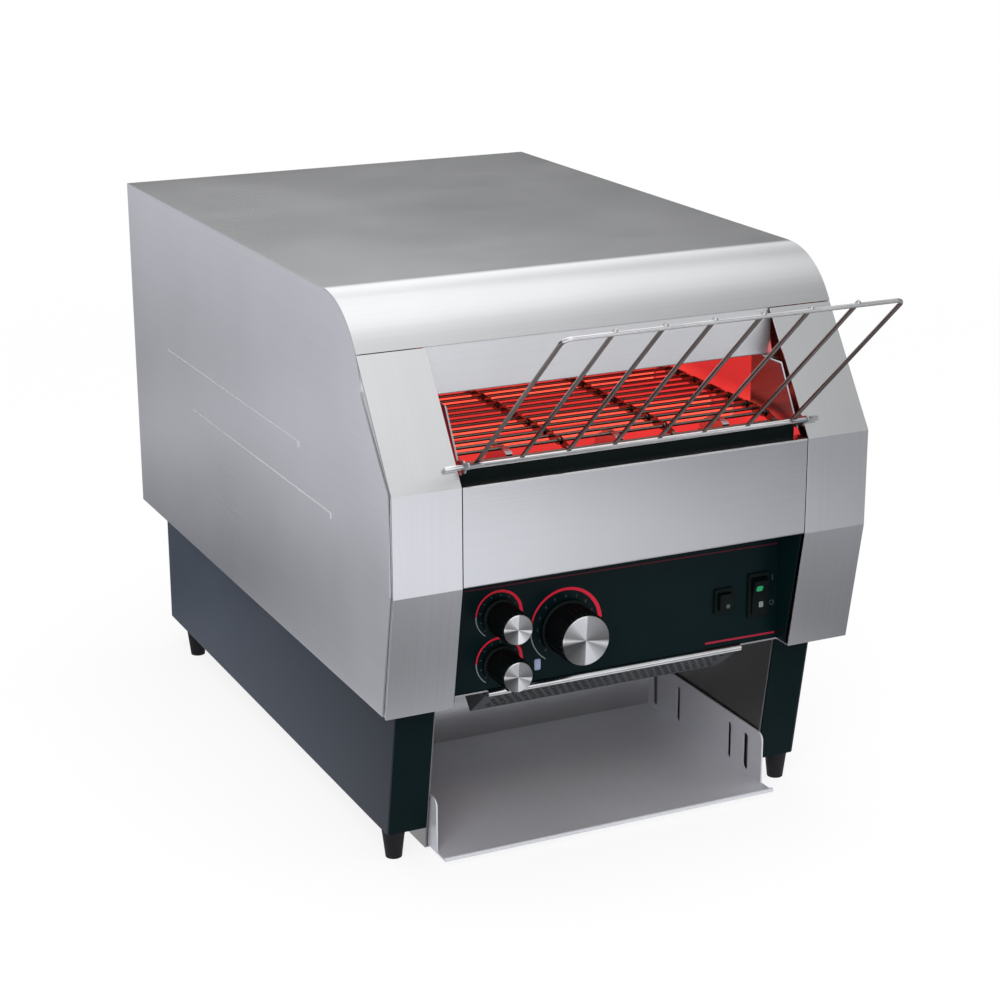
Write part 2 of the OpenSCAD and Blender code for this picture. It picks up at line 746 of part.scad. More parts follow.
// A V of sheet below the strip, closed at its ends, with holes in its front slope.
module vent_guard() {
    top = [ctl_back, strip_z - strip_r];
    low = [ctl_back + guard_d, strip_z - strip_r - guard_drop];
    rear = [low[0] + guard_drop, cab_bot - sheet];
    step = 3 * perf_r;
    rows = floor((norm(low - top) - 2 * perf_r - 4) / (step * 0.87)) + 1;
    cols = floor((2 * guard_half - 4 * perf_r - 8) / step);
    color(black) {
        difference() {
            along_x(-guard_half, guard_half) fold([rear + [8, 0], rear, low, top], -sheet);
            translate([0, top[0], top[1]]) rotate([-atan2(guard_drop, guard_d), 0, 0])
                for (i = [0:cols - 1], j = [0:rows - 1])
                    translate([(i - (cols - 1) / 2) * step + (j % 2 - 0.5) * step / 2,
                        perf_r + 2 + j * step * 0.87, -1])
                        cylinder(r = perf_r, h = sheet + 2, $fn = 16);
        }
        for (s = [-1, 1]) on_side(s) along_x(guard_half - sheet, guard_half)
            polygon([top, low, rear]);
    }
}

// The bodies of the two heat controls and the speed control, behind the panel.
module control_switches() {
    case_r = 14;
    case_d = 26;
    tab_len = 8;
    color("dimgray") for (p = knob_spots) difference() {
        union() {
            rod_y(ctl_y - 3, ctl_back + 3, p[0], p[1], neck_r);
            rod_y(ctl_y - 1.6, ctl_y, p[0], p[1], neck_r + 1.8, $fn = 32);
            block(p[0] - case_r, p[0] + case_r, ctl_back, ctl_back + case_d,
                p[1] - case_r, p[1] + case_r);
            for (s = [-1, 1]) block(p[0] + s * 8 - 3, p[0] + s * 8 + 3, ctl_back + case_d,
                ctl_back + case_d + tab_len, p[1] - 0.4, p[1] + 0.4);
        }
        rod_y(ctl_y - 4, ctl_back + 16, p[0], p[1], knob_shaft_r + run_fit);
    }
}

// A fluted knob on its shaft: a bright cap, a fluted grip and a plain skirt at the panel.
module knob(p, cap_r) {
    y0 = ctl_y - knob_out;
    skirt = 3.4;
    grip = knob_out - cap_t - skirt - panel_gap;
    flutes = round(cap_r * 1.6);
    translate([p[0], y0, p[1]]) rotate([-90, 0, 0]) {
        color(bright) rotate_extrude() polygon([[0, 0.5], [cap_r - 2.2, 0.5],
            [cap_r - 1.8, 0], [cap_r - 0.5, 0], [cap_r, 0.5], [cap_r, cap_t], [0, cap_t]]);
        color(black) difference() {
            union() {
                translate([0, 0, cap_t]) linear_extrude(grip) difference() {
                    circle(cap_r + 1.2);
                    for (k = [0:flutes - 1]) rotate((k + 0.5) * 360 / flutes)
                        translate([cap_r + 1.8, 0]) circle(1.2, $fn = 16);
                }
                translate([0, 0, cap_t + grip]) cylinder(r = cap_r + 2.6, h = skirt);
            }
            translate([0, 0, cap_t + 8]) cylinder(r = neck_r + 3.6, h = knob_out);
        }
        color(bright) translate([0, 0, cap_t + 6]) cylinder(r = knob_shaft_r, h = knob_out);
    }
}

module upper_heat_knob() {
    knob(knob_spots[0], knob_r);
}

module lower_heat_knob() {
    knob(knob_spots[1], knob_r);
}

module speed_knob() {
    knob(knob_spots[2], big_knob_r);
}

// A switch bezel: a rim on the panel and a housing behind it.
module bezel(x, w, h) {
    translate([x, 0, switch_z]) difference() {
        union() {
            along_y(ctl_y - bezel_rim, ctl_y) round2d(w + 6, h + 7, 1.5);
            along_y(ctl_y - 0.5, ctl_back + housing_d)
                square([w + 3.4, h + 3.4], center = true);
        }
        along_y(ctl_y - bezel_rim - 1, ctl_back + housing_d - 2)
            square([w + 0.8, h + 1.4], center = true);
    }
}

module switch_bezels() {
    color(black) {
        difference() {
            bezel(power_x, rocker_w, rocker_h);
            rod_x(power_x - 10, power_x + 10, ctl_y + pin_in, switch_z, pin_r + run_fit,
                $fn = 24);
        }
        bezel(saver_x, button_w, button_h);
    }
}

module power_rocker() {
    half = rocker_h / 2 - clear;
    color(black) translate([power_x, ctl_y + pin_in, switch_z]) rotate([rocker_tilt, 0, 0]) {
        along_x(-rocker_w / 2, rocker_w / 2) polygon([
            [-7.2, half], [-5.2, 0.6], [-5.2, -0.6], [-7.2, -half], [0, -half],
            [5, -4], [5, 4], [0, half]]);
        rod_x(-rocker_w / 2 - 1.3, rocker_w / 2 + 1.3, 0, 0, pin_r, $fn = 24);
    }
}

module saver_button() {
    color(black) translate([saver_x, 0, switch_z])
        along_y(ctl_y - 5, ctl_y + 8) round2d(button_w, button_h, 1);
}

module indicator_lamp() {
    color("white") translate([lamp_x, 0, lamp_z]) {
        along_y(ctl_y - 1.2, ctl_back + 8) square(5.4, center = true);
        along_y(ctl_back, ctl_back + 3) square(8, center = true);
    }
}

// ---- conveyor ------------------------------------------------------------

link_step = link_t + 0.3;
link_xs = [-belt_half + 3, -belt_half / 3, belt_half / 3 - 2 * link_t,
    belt_half - 3 - link_t - link_step];
wheel_xs = [-belt_half * 2 / 3, 0, belt_half * 2 / 3];
belt_pins = loop_count(belt_pitches, belt_teeth);

function is_end_pin(pin) = pin[0] < 0.5 * pitch || pin[0] > (belt_pitches - 0.5) * pitch;

// The belt's rods form a loop over the two shafts. These are the ones in the straight runs, or
// the ones in the two turns.
module rods_of(turns) {
    color(steel) translate([0, idler_y, shaft_z]) for (i = [0:belt_pins - 1]) {
        pin = loop_pin(i, belt_pitches, belt_teeth, pitch, belt_r);
        if (is_end_pin(pin) == turns)
            rod_x(-belt_half, belt_half, pin[0], pin[1], rod_r, $fn = 24);
    }
}

module belt_rods() {
    rods_of(false);
}

module belt_end_rods() {
    rods_of(true);
}

// Four chains of links that tie each rod to the next.
module belt_links() {
    color(steel) translate([0, idler_y, shaft_z]) for (i = [0:belt_pins - 1], x = link_xs) {
        x0 = x + (i % 2) * link_step;
        along_x(x0, x0 + link_t)
            placed_link(i, belt_pitches, belt_teeth, pitch, belt_r, link_r, rod_r + 0.05);
    }
}

module shaft_bushes() {
    color("peru") for (s = [-1, 1], y = [idler_y, drive_y]) on_side(s) difference() {
        union() {
            rod_x(wall_x - 1, wall_out, y, shaft_z, bush_r - 0.05);
            rod_x(wall_out, wall_out + 2, y, shaft_z, bush_r + 3);
        }
        rod_x(wall_x - 2, wall_out + 3, y, shaft_z, shaft_r + run_fit);
    }
}

// A conveyor shaft with a collar outside each bush.
module conveyor_shaft(y, right_end) {
    color(bright) {
        rod_x(-wall_out - 6, right_end, y, shaft_z, shaft_r);
        for (s = [-1, 1]) on_side(s)
            rod_x(wall_out + 2 + clear, wall_out + 4.5, y, shaft_z, shaft_r + 3);
    }
}

module belt_wheels(y) {
    color(steel) for (x = wheel_xs) translate([0, y, shaft_z]) {
        along_x(x - sprocket_w / 2, x + sprocket_w / 2)
            wheel2d(belt_teeth, belt_r, rod_r, 1.6, shaft_r + 0.02);
        along_x(x + sprocket_w / 2, x + sprocket_w / 2 + 7) difference() {
            circle(shaft_r + 4);
            circle(shaft_r + 0.02);
        }
    }
}

module idler_shaft() {
    conveyor_shaft(idler_y, wall_out + 6);
}

module idler_sprockets() {
    belt_wheels(idler_y);
}

module drive_shaft() {
    conveyor_shaft(drive_y, chain_x + 6);
}

module drive_sprockets() {
    belt_wheels(drive_y);
}

// ---- drive ---------------------------------------------------------------

tooth_w = 2.6;
pinion_in = 24;                                // how far the pinion's shaft runs into the gearbox

module chain_wheel2d() {
    wheel2d(chain_teeth, chain_r, roller_r, 1.5, shaft_r + 0.02);
}

module chain_wheel() {
    color(steel) translate([0, drive_y, shaft_z]) {
        along_x(chain_x - tooth_w / 2, chain_x + tooth_w / 2) chain_wheel2d();
        along_x(chain_x + tooth_w / 2, chain_x + 5) difference() {
            circle(shaft_r + 3);
            circle(shaft_r + 0.02);
        }
    }
}

module motor_pinion() {
    color(steel) translate([0, drive_y, pinion_z]) {
        along_x(chain_x - tooth_w / 2, chain_x + tooth_w / 2) chain_wheel2d();
        along_x(chain_x + tooth_w / 2, chain_x + 5) difference() {
            circle(shaft_r + 3);
            circle(shaft_r + 0.02);
        }
        rod_x(wall_x - pinion_in, chain_x + 6, 0, 0, shaft_r);
    }
}

// A roller chain up the side channel: rollers on pins, with inner and outer links by turns.
module drive_chain() {
    n = chain_pitches;
    t = chain_teeth;
    inner_x = tooth_w / 2 + 0.3;
    outer_x = inner_x + 0.95;
    color("gray") translate([chain_x, drive_y, pinion_z]) rotate([90, 0, 0])
        for (i = [0:loop_count(n, t) - 1]) {
            pin = loop_pin(i, n, t, chain_pitch, chain_r);
            rod_x(-inner_x + 0.05, inner_x - 0.05, pin[0], pin[1], roller_r, $fn = 24);
            for (s = [-1, 1]) on_side(s) {
                rod_x(inner_x - 0.05, outer_x + 1.1, pin[0], pin[1], 0.9, $fn = 16);
                x = i % 2 == 0 ? inner_x : outer_x;
                along_x(x, x + 0.8)
                    placed_link(i, n, t, chain_pitch, chain_r, roller_r + 0.8, 1);
            }
        }
}

// A motor with cooling ribs behind the gearbox that turns the pinion.
module gear_motor() {
    gear = motor_r + 3;
    gear_x = wall_x - 38;
    end_x = gear_x - motor_len;
    color("dimgray") translate([0, drive_y, pinion_z]) difference() {
        union() {
            along_x(gear_x, wall_x) round2d(2 * gear, 2 * gear, 8);
            rod_x(end_x, gear_x, 0, 0, motor_r);
            rod_x(end_x - 6, end_x, 0, 0, motor_r * 0.4);
            for (k = [0:11]) rotate([k * 30, 0, 0])
                block(end_x + 6, gear_x - 6, -1, 1, motor_r - 1, motor_r + 2);
        }
        rod_x(wall_x - pinion_in - 1, wall_x + 1, 0, 0, shaft_r + run_fit);
    }
}

// A relay: its base, its raised coil and six screw clamps.
module contactor() {
    w = 48;
    d = 60;
    base_h = 34;
    coil_h = 12;
    clamp_gap = 14;
    clamp_y = d / 2 - 3;
    color("dimgray") translate([relay_x, relay_y, pan_top]) {
        block(-w / 2, w / 2, -d / 2, d / 2, 0, base_h);
        block(4 - w / 2, w / 2 - 4, 6 - d / 2, d / 2 - 6, base_h, base_h + coil_h);
        for (i = [-1:1], s = [-1, 1]) translate([i * clamp_gap, s * clamp_y, base_h])
            block(-4, 4, -3, 3, 0, 3);
    }
}

module terminal_block() {
    poles = 5;
    pole_w = 11;
    w = poles * pole_w + 1;
    d = 18;
    h = 18;
    color("ivory") translate([cord_x - 6, base_y1 - terminal_back, pan_top]) difference() {
        block(-w / 2, w / 2, -d / 2, d / 2, 0, h);
        for (i = [0:poles - 1]) translate([(i - (poles - 1) / 2) * pole_w, 0, h / 2])
            cylinder(r = 3, h = h, $fn = 24);
    }
}

module fan_frame() {
    color(black) translate([fan_x, fan_y, fan_z]) {
        difference() {
            along_y(-fan_d, 0) round2d(fan_side, fan_side, 4);
            rod_y(-fan_d - 1, 1, 0, 0, fan_bore);
            for (i = [-1, 1], j = [-1, 1])
                rod_y(-fan_d - 1, 1, i * (fan_side / 2 - 4.5), j * (fan_side / 2 - 4.5), 2);
        }
        along_y(-3, 0) difference() {
            union() {
                circle(14);
                for (k = [0:3]) rotate(45 + k * 90) translate([0, -1.5])
                    square([fan_bore + 0.5, 3]);
            }
            circle(1.5 + run_fit, $fn = 24);
        }
    }
}

module fan_rotor() {
    tip = fan_bore - 3.2;
    color(black) translate([fan_x, fan_y, fan_z]) {
        difference() {
            rod_y(3.5 - fan_d, -3.6, 0, 0, 15);
            rod_y(2 - fan_d, 5 - fan_d, 0, 0, 12);
        }
        rod_y(-3.6, -0.6, 0, 0, 1.5, $fn = 24);
        for (k = [0:fan_blades - 1]) rotate([0, k * 360 / fan_blades, 0])
            translate([0, -fan_d / 2, (14 + tip) / 2]) rotate([0, 0, 38])
                cube([19, 1.3, tip - 14], center = true);
    }
}

module fan_guard() {
    ring_r = 0.9;
    color(bright) translate([fan_x, base_y1 + ring_r, fan_z]) {
        for (r = [10, 19, 28, fan_bore]) rotate([90, 0, 0]) rotate_extrude()
            translate([r, 0]) circle(ring_r, $fn = 24);
        for (a = [45, 135]) rotate([0, a, 0])
            rod_x(-fan_side * 0.62, fan_side * 0.62, 1.6, 0, ring_r, $fn = 24);
    }
}

module cord_bushing() {
    color(black) translate([cord_x, 0, cord_z]) difference() {
        union() {
            rod_y(base_y1 - sheet - 6, base_y1, 0, 0, cord_r + 2.5);
            rod_y(base_y1, base_y1 + 3, 0, 0, cord_r + 5);
            rod_y(base_y1 - sheet - 6, base_y1 - sheet - 3, 0, 0, cord_r + 4);
        }
        rod_y(base_y1 - sheet - 7, base_y1 + 4, 0, 0, cord_r);
    }
}

// ---- rack and tray -------------------------------------------------------

// Wires from the pivot rod up to the top bar, whose ends bend down into the outer wires.
module feed_rack() {
    half = rack_w / 2;
    top = rack_len - rack_corner;
    gap = rack_w / (rack_wires - 1);
    color(bright) translate([0, rod_y, rod_z]) rotate([90 - rack_rise, 0, 0]) {
        rod_x(-trim_x - rod_over, trim_x + rod_over, 0, 0, rack_rod_r, $fn = 32);
        for (s = [-1, 1]) {
            translate([s * half, 0, 0]) cylinder(r = wire_r, h = top, $fn = 32);
            on_side(s) translate([half - rack_corner, 0, top]) rotate([90, 0, 0])
                rotate_extrude(angle = 90) translate([rack_corner, 0])
                    circle(wire_r, $fn = 32);
        }
        rod_x(rack_corner - half, half - rack_corner, 0, rack_len, wire_r, $fn = 32);
        for (i = [1:rack_wires - 2]) translate([i * gap - half, wire_r * 0.9, 0])
            cylinder(r = wire_r, h = rack_len + wire_r + 0.5, $fn = 32);
    }
}

module tray_wall2d() {
    y0 = tray_y0 + tray_lip;
    z1 = tray_z + tray_wall;
    slots = [[y0 + 23, slot_w + 2], [y0 + 47, slot_w],
        [tray_y1 - 50, slot_w], [tray_y1 - 12, slot_w + 2]];
    difference() {
        union() {
            translate([y0, tray_z]) square([tray_y1 - y0, tray_wall - 6]);
            translate([y0 + 6, tray_z]) square([tray_y1 - y0 - 6, tray_wall]);
            translate([y0 + 6, z1 - 6]) circle(6, $fn = 32);
        }
        for (s = slots) translate([s[0], tray_z + tray_wall * 0.45])
            slot2d(s[1], tray_wall * 0.72);
    }
}

module collection_tray() {
    color(steel) {
        block(-tray_half, tray_half, tray_y0 + 1.6, tray_y1, tray_z, tray_z + sheet);
        rod_x(-tray_half, tray_half, tray_y0 + 1.6, tray_z + 1.6, 1.6, $fn = 24);
        for (s = [-1, 1]) on_side(s) along_x(tray_half - sheet, tray_half) tray_wall2d();
        along_y(tray_y1 - sheet, tray_y1)
            translate([-tray_half, tray_z]) square([2 * tray_half, tray_wall - 2]);
    }
}

base_side(-1);  // base_side_left
base_side(1);  // base_side_right
front_pillar(-1);  // front_pillar_left
front_pillar(1);  // front_pillar_right
base_pan();
base_back();
feet();
inner_wall(-1);  // inner_wall_left
inner_wall(1);  // inner_wall_right
ramp();
top_cover();
side_panel(-1);  // side_panel_left
side_panel(1);  // side_panel_right
back_panel();
back_screws();
front_trim(-1);  // front_trim_left
front_trim(1);  // front_trim_right
front_panel();
front_baffle();
throat_guide(-1);  // throat_guide_left
throat_guide(1);  // throat_guide_right
upper_panel();
upper_reflector();
lower_reflector();
heat_shield();
upper_elements();
lower_elements();
element_bushings();
control_panel();
control_box();
panel_strip();
vent_guard();
control_switches();
switch_bezels();
indicator_lamp();
belt_rods();
belt_end_rods();
belt_links();
shaft_bushes();
idler_shaft();
idler_sprockets();
drive_shaft();
drive_sprockets();
chain_wheel();
drive_chain();
motor_pinion();
gear_motor();
contactor();
terminal_block();
fan_frame();
fan_rotor();
fan_guard();
cord_bushing();
feed_rack();
collection_tray();
upper_heat_knob();
lower_heat_knob();
speed_knob();
power_rocker();
saver_button();
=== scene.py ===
# %% [markdown]
# # A counter-top conveyor toaster
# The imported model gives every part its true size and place. This lesson dresses it: sheet
# metal gets the small round bends of a press brake, printed dials and lamps are added, and
# each part gets a finish of its own. Lengths are metres, +Z is up and the front faces -Y.

# %% Load the frame
import json
import math

import bmesh
import bpy
from mathutils import Matrix, Vector
from mathutils.bvhtree import BVHTree


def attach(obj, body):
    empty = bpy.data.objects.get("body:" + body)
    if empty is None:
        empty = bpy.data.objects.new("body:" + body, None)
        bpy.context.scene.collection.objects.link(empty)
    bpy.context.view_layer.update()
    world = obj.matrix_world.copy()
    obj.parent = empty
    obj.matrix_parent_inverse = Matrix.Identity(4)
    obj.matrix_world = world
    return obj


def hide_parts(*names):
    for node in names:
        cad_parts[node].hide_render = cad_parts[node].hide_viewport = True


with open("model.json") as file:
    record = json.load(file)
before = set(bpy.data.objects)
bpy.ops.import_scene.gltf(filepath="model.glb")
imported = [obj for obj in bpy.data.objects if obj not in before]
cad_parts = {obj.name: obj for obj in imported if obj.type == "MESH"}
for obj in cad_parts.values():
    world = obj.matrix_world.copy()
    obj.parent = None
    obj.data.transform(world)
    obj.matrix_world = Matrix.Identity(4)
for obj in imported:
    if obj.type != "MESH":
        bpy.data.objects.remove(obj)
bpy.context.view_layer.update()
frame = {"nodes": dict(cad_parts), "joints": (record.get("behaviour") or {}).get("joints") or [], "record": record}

# %% [markdown]
# ## Measures
# What is added to a part is placed from that part's pivot, its box or its middle, so that it
# follows the frame. Small lengths are written in millimetres, as a drawing has them.

# %% Measures from the frame
MM = 0.001


def joint_point(name):
    """The pivot of a joint, in metres."""
    return next(Vector(j["pos_m"]) for j in frame["joints"] if j["name"] == name)


def box_of(node_name):
    """The lowest and the highest corner of a node."""
    axes = list(zip(*(vertex.co for vertex in frame["nodes"][node_name].data.vertices)))
    return Vector([min(axis) for axis in axes]), Vector([max(axis) for axis in axes])


def middle_of(node_name):
    low, high = box_of(node_name)
    return (low + high) / 2


print("control panel's box in mm", [[round(v / MM, 1) for v in corner]
                                    for corner in box_of("control_panel")])

# %% [markdown]
# ## Pieces
# A finished piece is a mesh whose object stays at the origin. It belongs to a node of the
# frame: it rides on that node's body, gets a material where one is given, and may stand in its place.

# %% Pieces
def body_of(node_name):
    bodies = frame["record"]["behaviour"]["bodies"]
    return next(body for body, names in bodies.items() if node_name in names)


def add_piece(name, mesh, node_name, material=None, instead=False):
    """Adds a mesh to a node. Where instead is true, it is shown in place of the node."""
    piece = bpy.data.objects.new(name, mesh)
    bpy.context.scene.collection.objects.link(piece)
    if material is not None:
        mesh.materials.clear()
        mesh.materials.append(material)
    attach(piece, body_of(node_name))
    if instead:
        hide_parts(node_name)
    return piece


# %% [markdown]
# ## From modifier to plain mesh
# Modifiers and Geometry Nodes do their shaping on a helper object. The result is kept as a
# plain mesh and the helper goes, so that a piece carries nothing live.

# %% Keep the evaluated mesh
def evaluated_mesh(name, mesh, add_modifiers):
    """Runs the modifiers that add_modifiers puts on a helper object, and keeps the mesh."""
    helper = bpy.data.objects.new("helper", mesh)
    bpy.context.scene.collection.objects.link(helper)
    add_modifiers(helper)
    depsgraph = bpy.context.evaluated_depsgraph_get()
    result = bpy.data.meshes.new_from_object(helper.evaluated_get(depsgraph))
    result.name = name
    bpy.data.objects.remove(helper)
    return result


# %% [markdown]
# ## Smooth bends and flat faces
# Two things spoil the shading of bent sheet. A bevel that ran out of room leaves faces with
# no area, whose normals point anywhere, so those are merged away first. Smooth shading also
# lets a flat face darken towards its bend, unless the large faces weigh most at each corner.

# %% A mesh with clean shading
NO_LENGTH = 0.003 * MM
SHARP_ANGLE = math.radians(32)


def mesh_of(bm, name):
    """A mesh from a bmesh: smooth across small bends, sharp at corners, flat faces kept flat."""
    bmesh.ops.remove_doubles(bm, verts=bm.verts, dist=NO_LENGTH)
    bmesh.ops.dissolve_degenerate(bm, edges=bm.edges, dist=NO_LENGTH)
    mesh = bpy.data.meshes.new(name)
    bm.to_mesh(mesh)
    bm.free()
    mesh.shade_smooth()
    mesh.set_sharp_from_angle(angle=SHARP_ANGLE)

    def weigh_normals(helper):
        modifier = helper.modifiers.new("flat_faces_first", "WEIGHTED_NORMAL")
        modifier.keep_sharp = True
        modifier.weight = 50

    return evaluated_mesh(name, mesh, weigh_normals)


# %% [markdown]
# ## Camera
# A long lens from the front left, a little above the top. The lens is long enough that
# upright edges stay almost upright. The place is worked out from two angles and a distance,
# which is easier to adjust than three coordinates.

# %% Camera
CAMERA_AZIMUTH = math.radians(-25.413)
CAMERA_HEIGHT_ANGLE = math.radians(17.65)
CAMERA_ROLL = math.radians(-0.18)
CAMERA_DISTANCE = 1.79784
CAMERA_TARGET = Vector((-0.001755, 0, 0.200643))
CAMERA_LENS_MM = 83.88
CAMERA_SENSOR_MM = 36


def add_camera():
    back = Vector((
        math.sin(CAMERA_AZIMUTH) * math.cos(CAMERA_HEIGHT_ANGLE),
        -math.cos(CAMERA_AZIMUTH) * math.cos(CAMERA_HEIGHT_ANGLE),
        math.sin(CAMERA_HEIGHT_ANGLE),
    ))
    right = Vector((0, 0, 1)).cross(back).normalized()
    up = back.cross(right)
    turned_right = math.cos(CAMERA_ROLL) * right + math.sin(CAMERA_ROLL) * up
    turned_up = math.cos(CAMERA_ROLL) * up - math.sin(CAMERA_ROLL) * right
    data = bpy.data.cameras.new("camera")
    data.lens = CAMERA_LENS_MM
    data.sensor_width = CAMERA_SENSOR_MM
    data.clip_end = 50
    camera = bpy.data.objects.new("camera", data)
    bpy.context.scene.collection.objects.link(camera)
    matrix = Matrix((turned_right, turned_up, back)).transposed().to_4x4()
    matrix.translation = CAMERA_TARGET + back * CAMERA_DISTANCE
    camera.matrix_world = matrix
    bpy.context.scene.camera = camera
    return camera


camera = add_camera()
print("camera at", [round(v, 3) for v in camera.matrix_world.translation])

# %% [markdown]
# ## Node trees in a few words
# A material or a world is a tree of nodes. Written out link by link a tree is hard to read,
# so the nodes used again and again get short helpers here: one makes a node, one links
# pairs of sockets, and the others do a sum, split a coordinate or mix two shaders.

# %% Node helpers
def node(tree, kind, **settings):
    """A new node. A setting is an input's value where an input has that name."""
    made = tree.nodes.new(kind)
    for key, value in settings.items():
        if key in made.inputs:
            made.inputs[key].default_value = value
        else:
            setattr(made, key, value)
    return made


def join(tree, *chain):
    """Links outputs to inputs, given in pairs."""
    for source, target in zip(chain[::2], chain[1::2]):
        tree.links.new(source, target)


def maths(tree, operation, *terms):
    """A Math node. A term is an output to link, or a plain number."""
    made = node(tree, "ShaderNodeMath", operation=operation)
    for socket, term in zip(made.inputs, terms):
        if isinstance(term, (int, float)):
            socket.default_value = term
        else:
            tree.links.new(term, socket)
    return made.outputs[0]


def coordinates(tree, kind="Object"):
    """The X, Y and Z outputs of a texture coordinate."""
    where = node(tree, "ShaderNodeTexCoord")
    split = node(tree, "ShaderNodeSeparateXYZ")
    join(tree, where.outputs[kind], split.inputs[0])
    return split.outputs


def mixed(tree, factor, first, second):
    """The first shader where factor is 0, the second where it is 1."""
    mix = node(tree, "ShaderNodeMixShader")
    join(tree, factor, mix.inputs[0], first, mix.inputs[1], second, mix.inputs[2])
    return mix.outputs[0]


# %% [markdown]
# ### Levels along a line
# The surroundings are drawn with grey levels that change smoothly along one direction. A
# Map Range brings a coordinate to 0..1, a Color Ramp holds the levels, and two or three such
# curves multiplied make a soft picture of a room.

# %% Curves
MOST_LEVEL = 2


def spanned(tree, value, start=0.0, end=1.0, low=0.0, high=1.0, kind="LINEAR"):
    """Carries start..end over to low..high, and holds both ends."""
    span = node(tree, "ShaderNodeMapRange", interpolation_type=kind, **{
        "From Min": start, "From Max": end, "To Min": low, "To Max": high})
    join(tree, value, span.inputs["Value"])
    return span.outputs["Result"]


def curve_of(tree, factor, stops):
    """A smooth grey ramp through (place, level) stops. A ramp holds 0..1, so it is scaled."""
    ramp = node(tree, "ShaderNodeValToRGB")
    elements = ramp.color_ramp.elements
    while len(elements) < len(stops):
        elements.new(0.5)
    for element, (place, level) in zip(elements, stops):
        element.position = place
        element.color = (*[level / MOST_LEVEL] * 3, 1)
    join(tree, factor, ramp.inputs["Fac"])
    return maths(tree, "MULTIPLY", ramp.outputs["Color"], MOST_LEVEL)


def product(tree, first, *others):
    """Multiplies two or more outputs."""
    for other in others:
        first = maths(tree, "MULTIPLY", first, other)
    return first


def held(tree, value, low, high):
    clamp = node(tree, "ShaderNodeClamp", Min=low, Max=high)
    join(tree, value, clamp.inputs["Value"])
    return clamp.outputs[0]


# %% [markdown]
# ## World
# Satin steel shows whatever stands around it, so the studio matters more than the steel. A
# Light Path node tells which ray asks. The eye sees plain white, matt surfaces get an even
# light, and reflections see a pale room: bright low at the front and straight above, dark
# low at the back, and dimmer at both sides than in the middle.

# %% World
LIGHT_LEVEL = 0.60
ROOM_TINT = (0.985, 0.99, 1.0, 1)
ROOM_LEVELS = (0.06, 1.40)
# The Y of a direction, between which the front of the room becomes its back.
FRONT_TO_BACK = (-0.35, 0.25)
# Levels from the ground, 0, to straight above, 1.
SKY_BEHIND = ((0.0, 0.06), (0.17, 0.06), (0.24, 0.15), (0.33, 1.46), (0.45, 1.24),
              (0.70, 0.90), (1.0, 1.80))
SKY_FRONT = ((0.0, 1.40), (0.15, 1.30), (0.40, 0.60), (0.70, 0.71), (1.0, 1.10))
# Levels from the left, 0, to the right, 1.
SKY_ACROSS = ((0.0, 0.45), (0.25, 0.76), (0.50, 1.40), (0.62, 1.40), (0.70, 1.20),
              (0.80, 0.47), (1.0, 0.30))


def mirrored_room(tree):
    """How bright the room is in each direction that a reflection can look."""
    direction = coordinates(tree, "Generated")
    sky = node(tree, "ShaderNodeMix", data_type="FLOAT")
    join(tree, spanned(tree, direction["Y"], *FRONT_TO_BACK), sky.inputs["Factor"],
         curve_of(tree, direction["Z"], SKY_FRONT), sky.inputs["A"],
         curve_of(tree, direction["Z"], SKY_BEHIND), sky.inputs["B"])
    across = curve_of(tree, spanned(tree, direction["X"], -1.0, 1.0), SKY_ACROSS)
    return held(tree, product(tree, sky.outputs["Result"], across), *ROOM_LEVELS)


def build_world():
    world = bpy.data.worlds.new("studio")
    bpy.context.scene.world = world
    world.use_nodes = True
    tree = world.node_tree
    tree.nodes.clear()
    out = node(tree, "ShaderNodeOutputWorld")
    light = node(tree, "ShaderNodeBackground", Color=(1, 1, 1, 1), Strength=LIGHT_LEVEL)
    white = node(tree, "ShaderNodeBackground", Color=(1, 1, 1, 1), Strength=1.0)
    room = node(tree, "ShaderNodeBackground", Color=ROOM_TINT)
    join(tree, mirrored_room(tree), room.inputs["Strength"])
    ray = node(tree, "ShaderNodeLightPath").outputs
    eye_or_gloss = maths(tree, "MAXIMUM", ray["Is Camera Ray"], ray["Is Glossy Ray"])
    shows = maths(tree, "MAXIMUM", eye_or_gloss, ray["Is Transmission Ray"])
    shown = mixed(tree, ray["Is Camera Ray"], room.outputs[0], white.outputs[0])
    join(tree, mixed(tree, shows, light.outputs[0], shown), out.inputs["Surface"])
    return tree


print("world nodes", len(build_world().nodes))

# %% [markdown]
# ## Floor
# The paper under the toaster is white. It keeps the shadow, because only part of its
# brightness is its own glow, and far away it is all glow, so that it runs into the white
# behind it. In the steel it is darkest a hand's width from the toaster, which shades it, and
# dimmer towards the right and the back, away from the room's bright front.

# %% Levels of the floor
FLOOR_HALF_SIZE = 6.0
PAPER_WHITE = (0.96, 0.96, 0.96, 1)
MIRRORED_TINT = (0.955, 0.965, 1.03, 1)
MIRRORED_LEVELS = (0.20, 1.10)
# The toaster's half size and middle along X and Y.
FOOTPRINT = {"X": (0.18, 0.0), "Y": (0.28, 0.06)}
# Distances from it between which the paper's own glow rises, and the share of it there.
OWN_GLOW = (0.35, 1.6, 0.85, 1.0)
# Mirrored levels by the distance from it, from 0 to 1 m.
NEAR_FLOOR = ((0.0, 1.06), (0.08, 0.62), (0.16, 0.34), (0.28, 0.52), (0.45, 1.19),
              (0.70, 1.79), (1.0, 1.13))
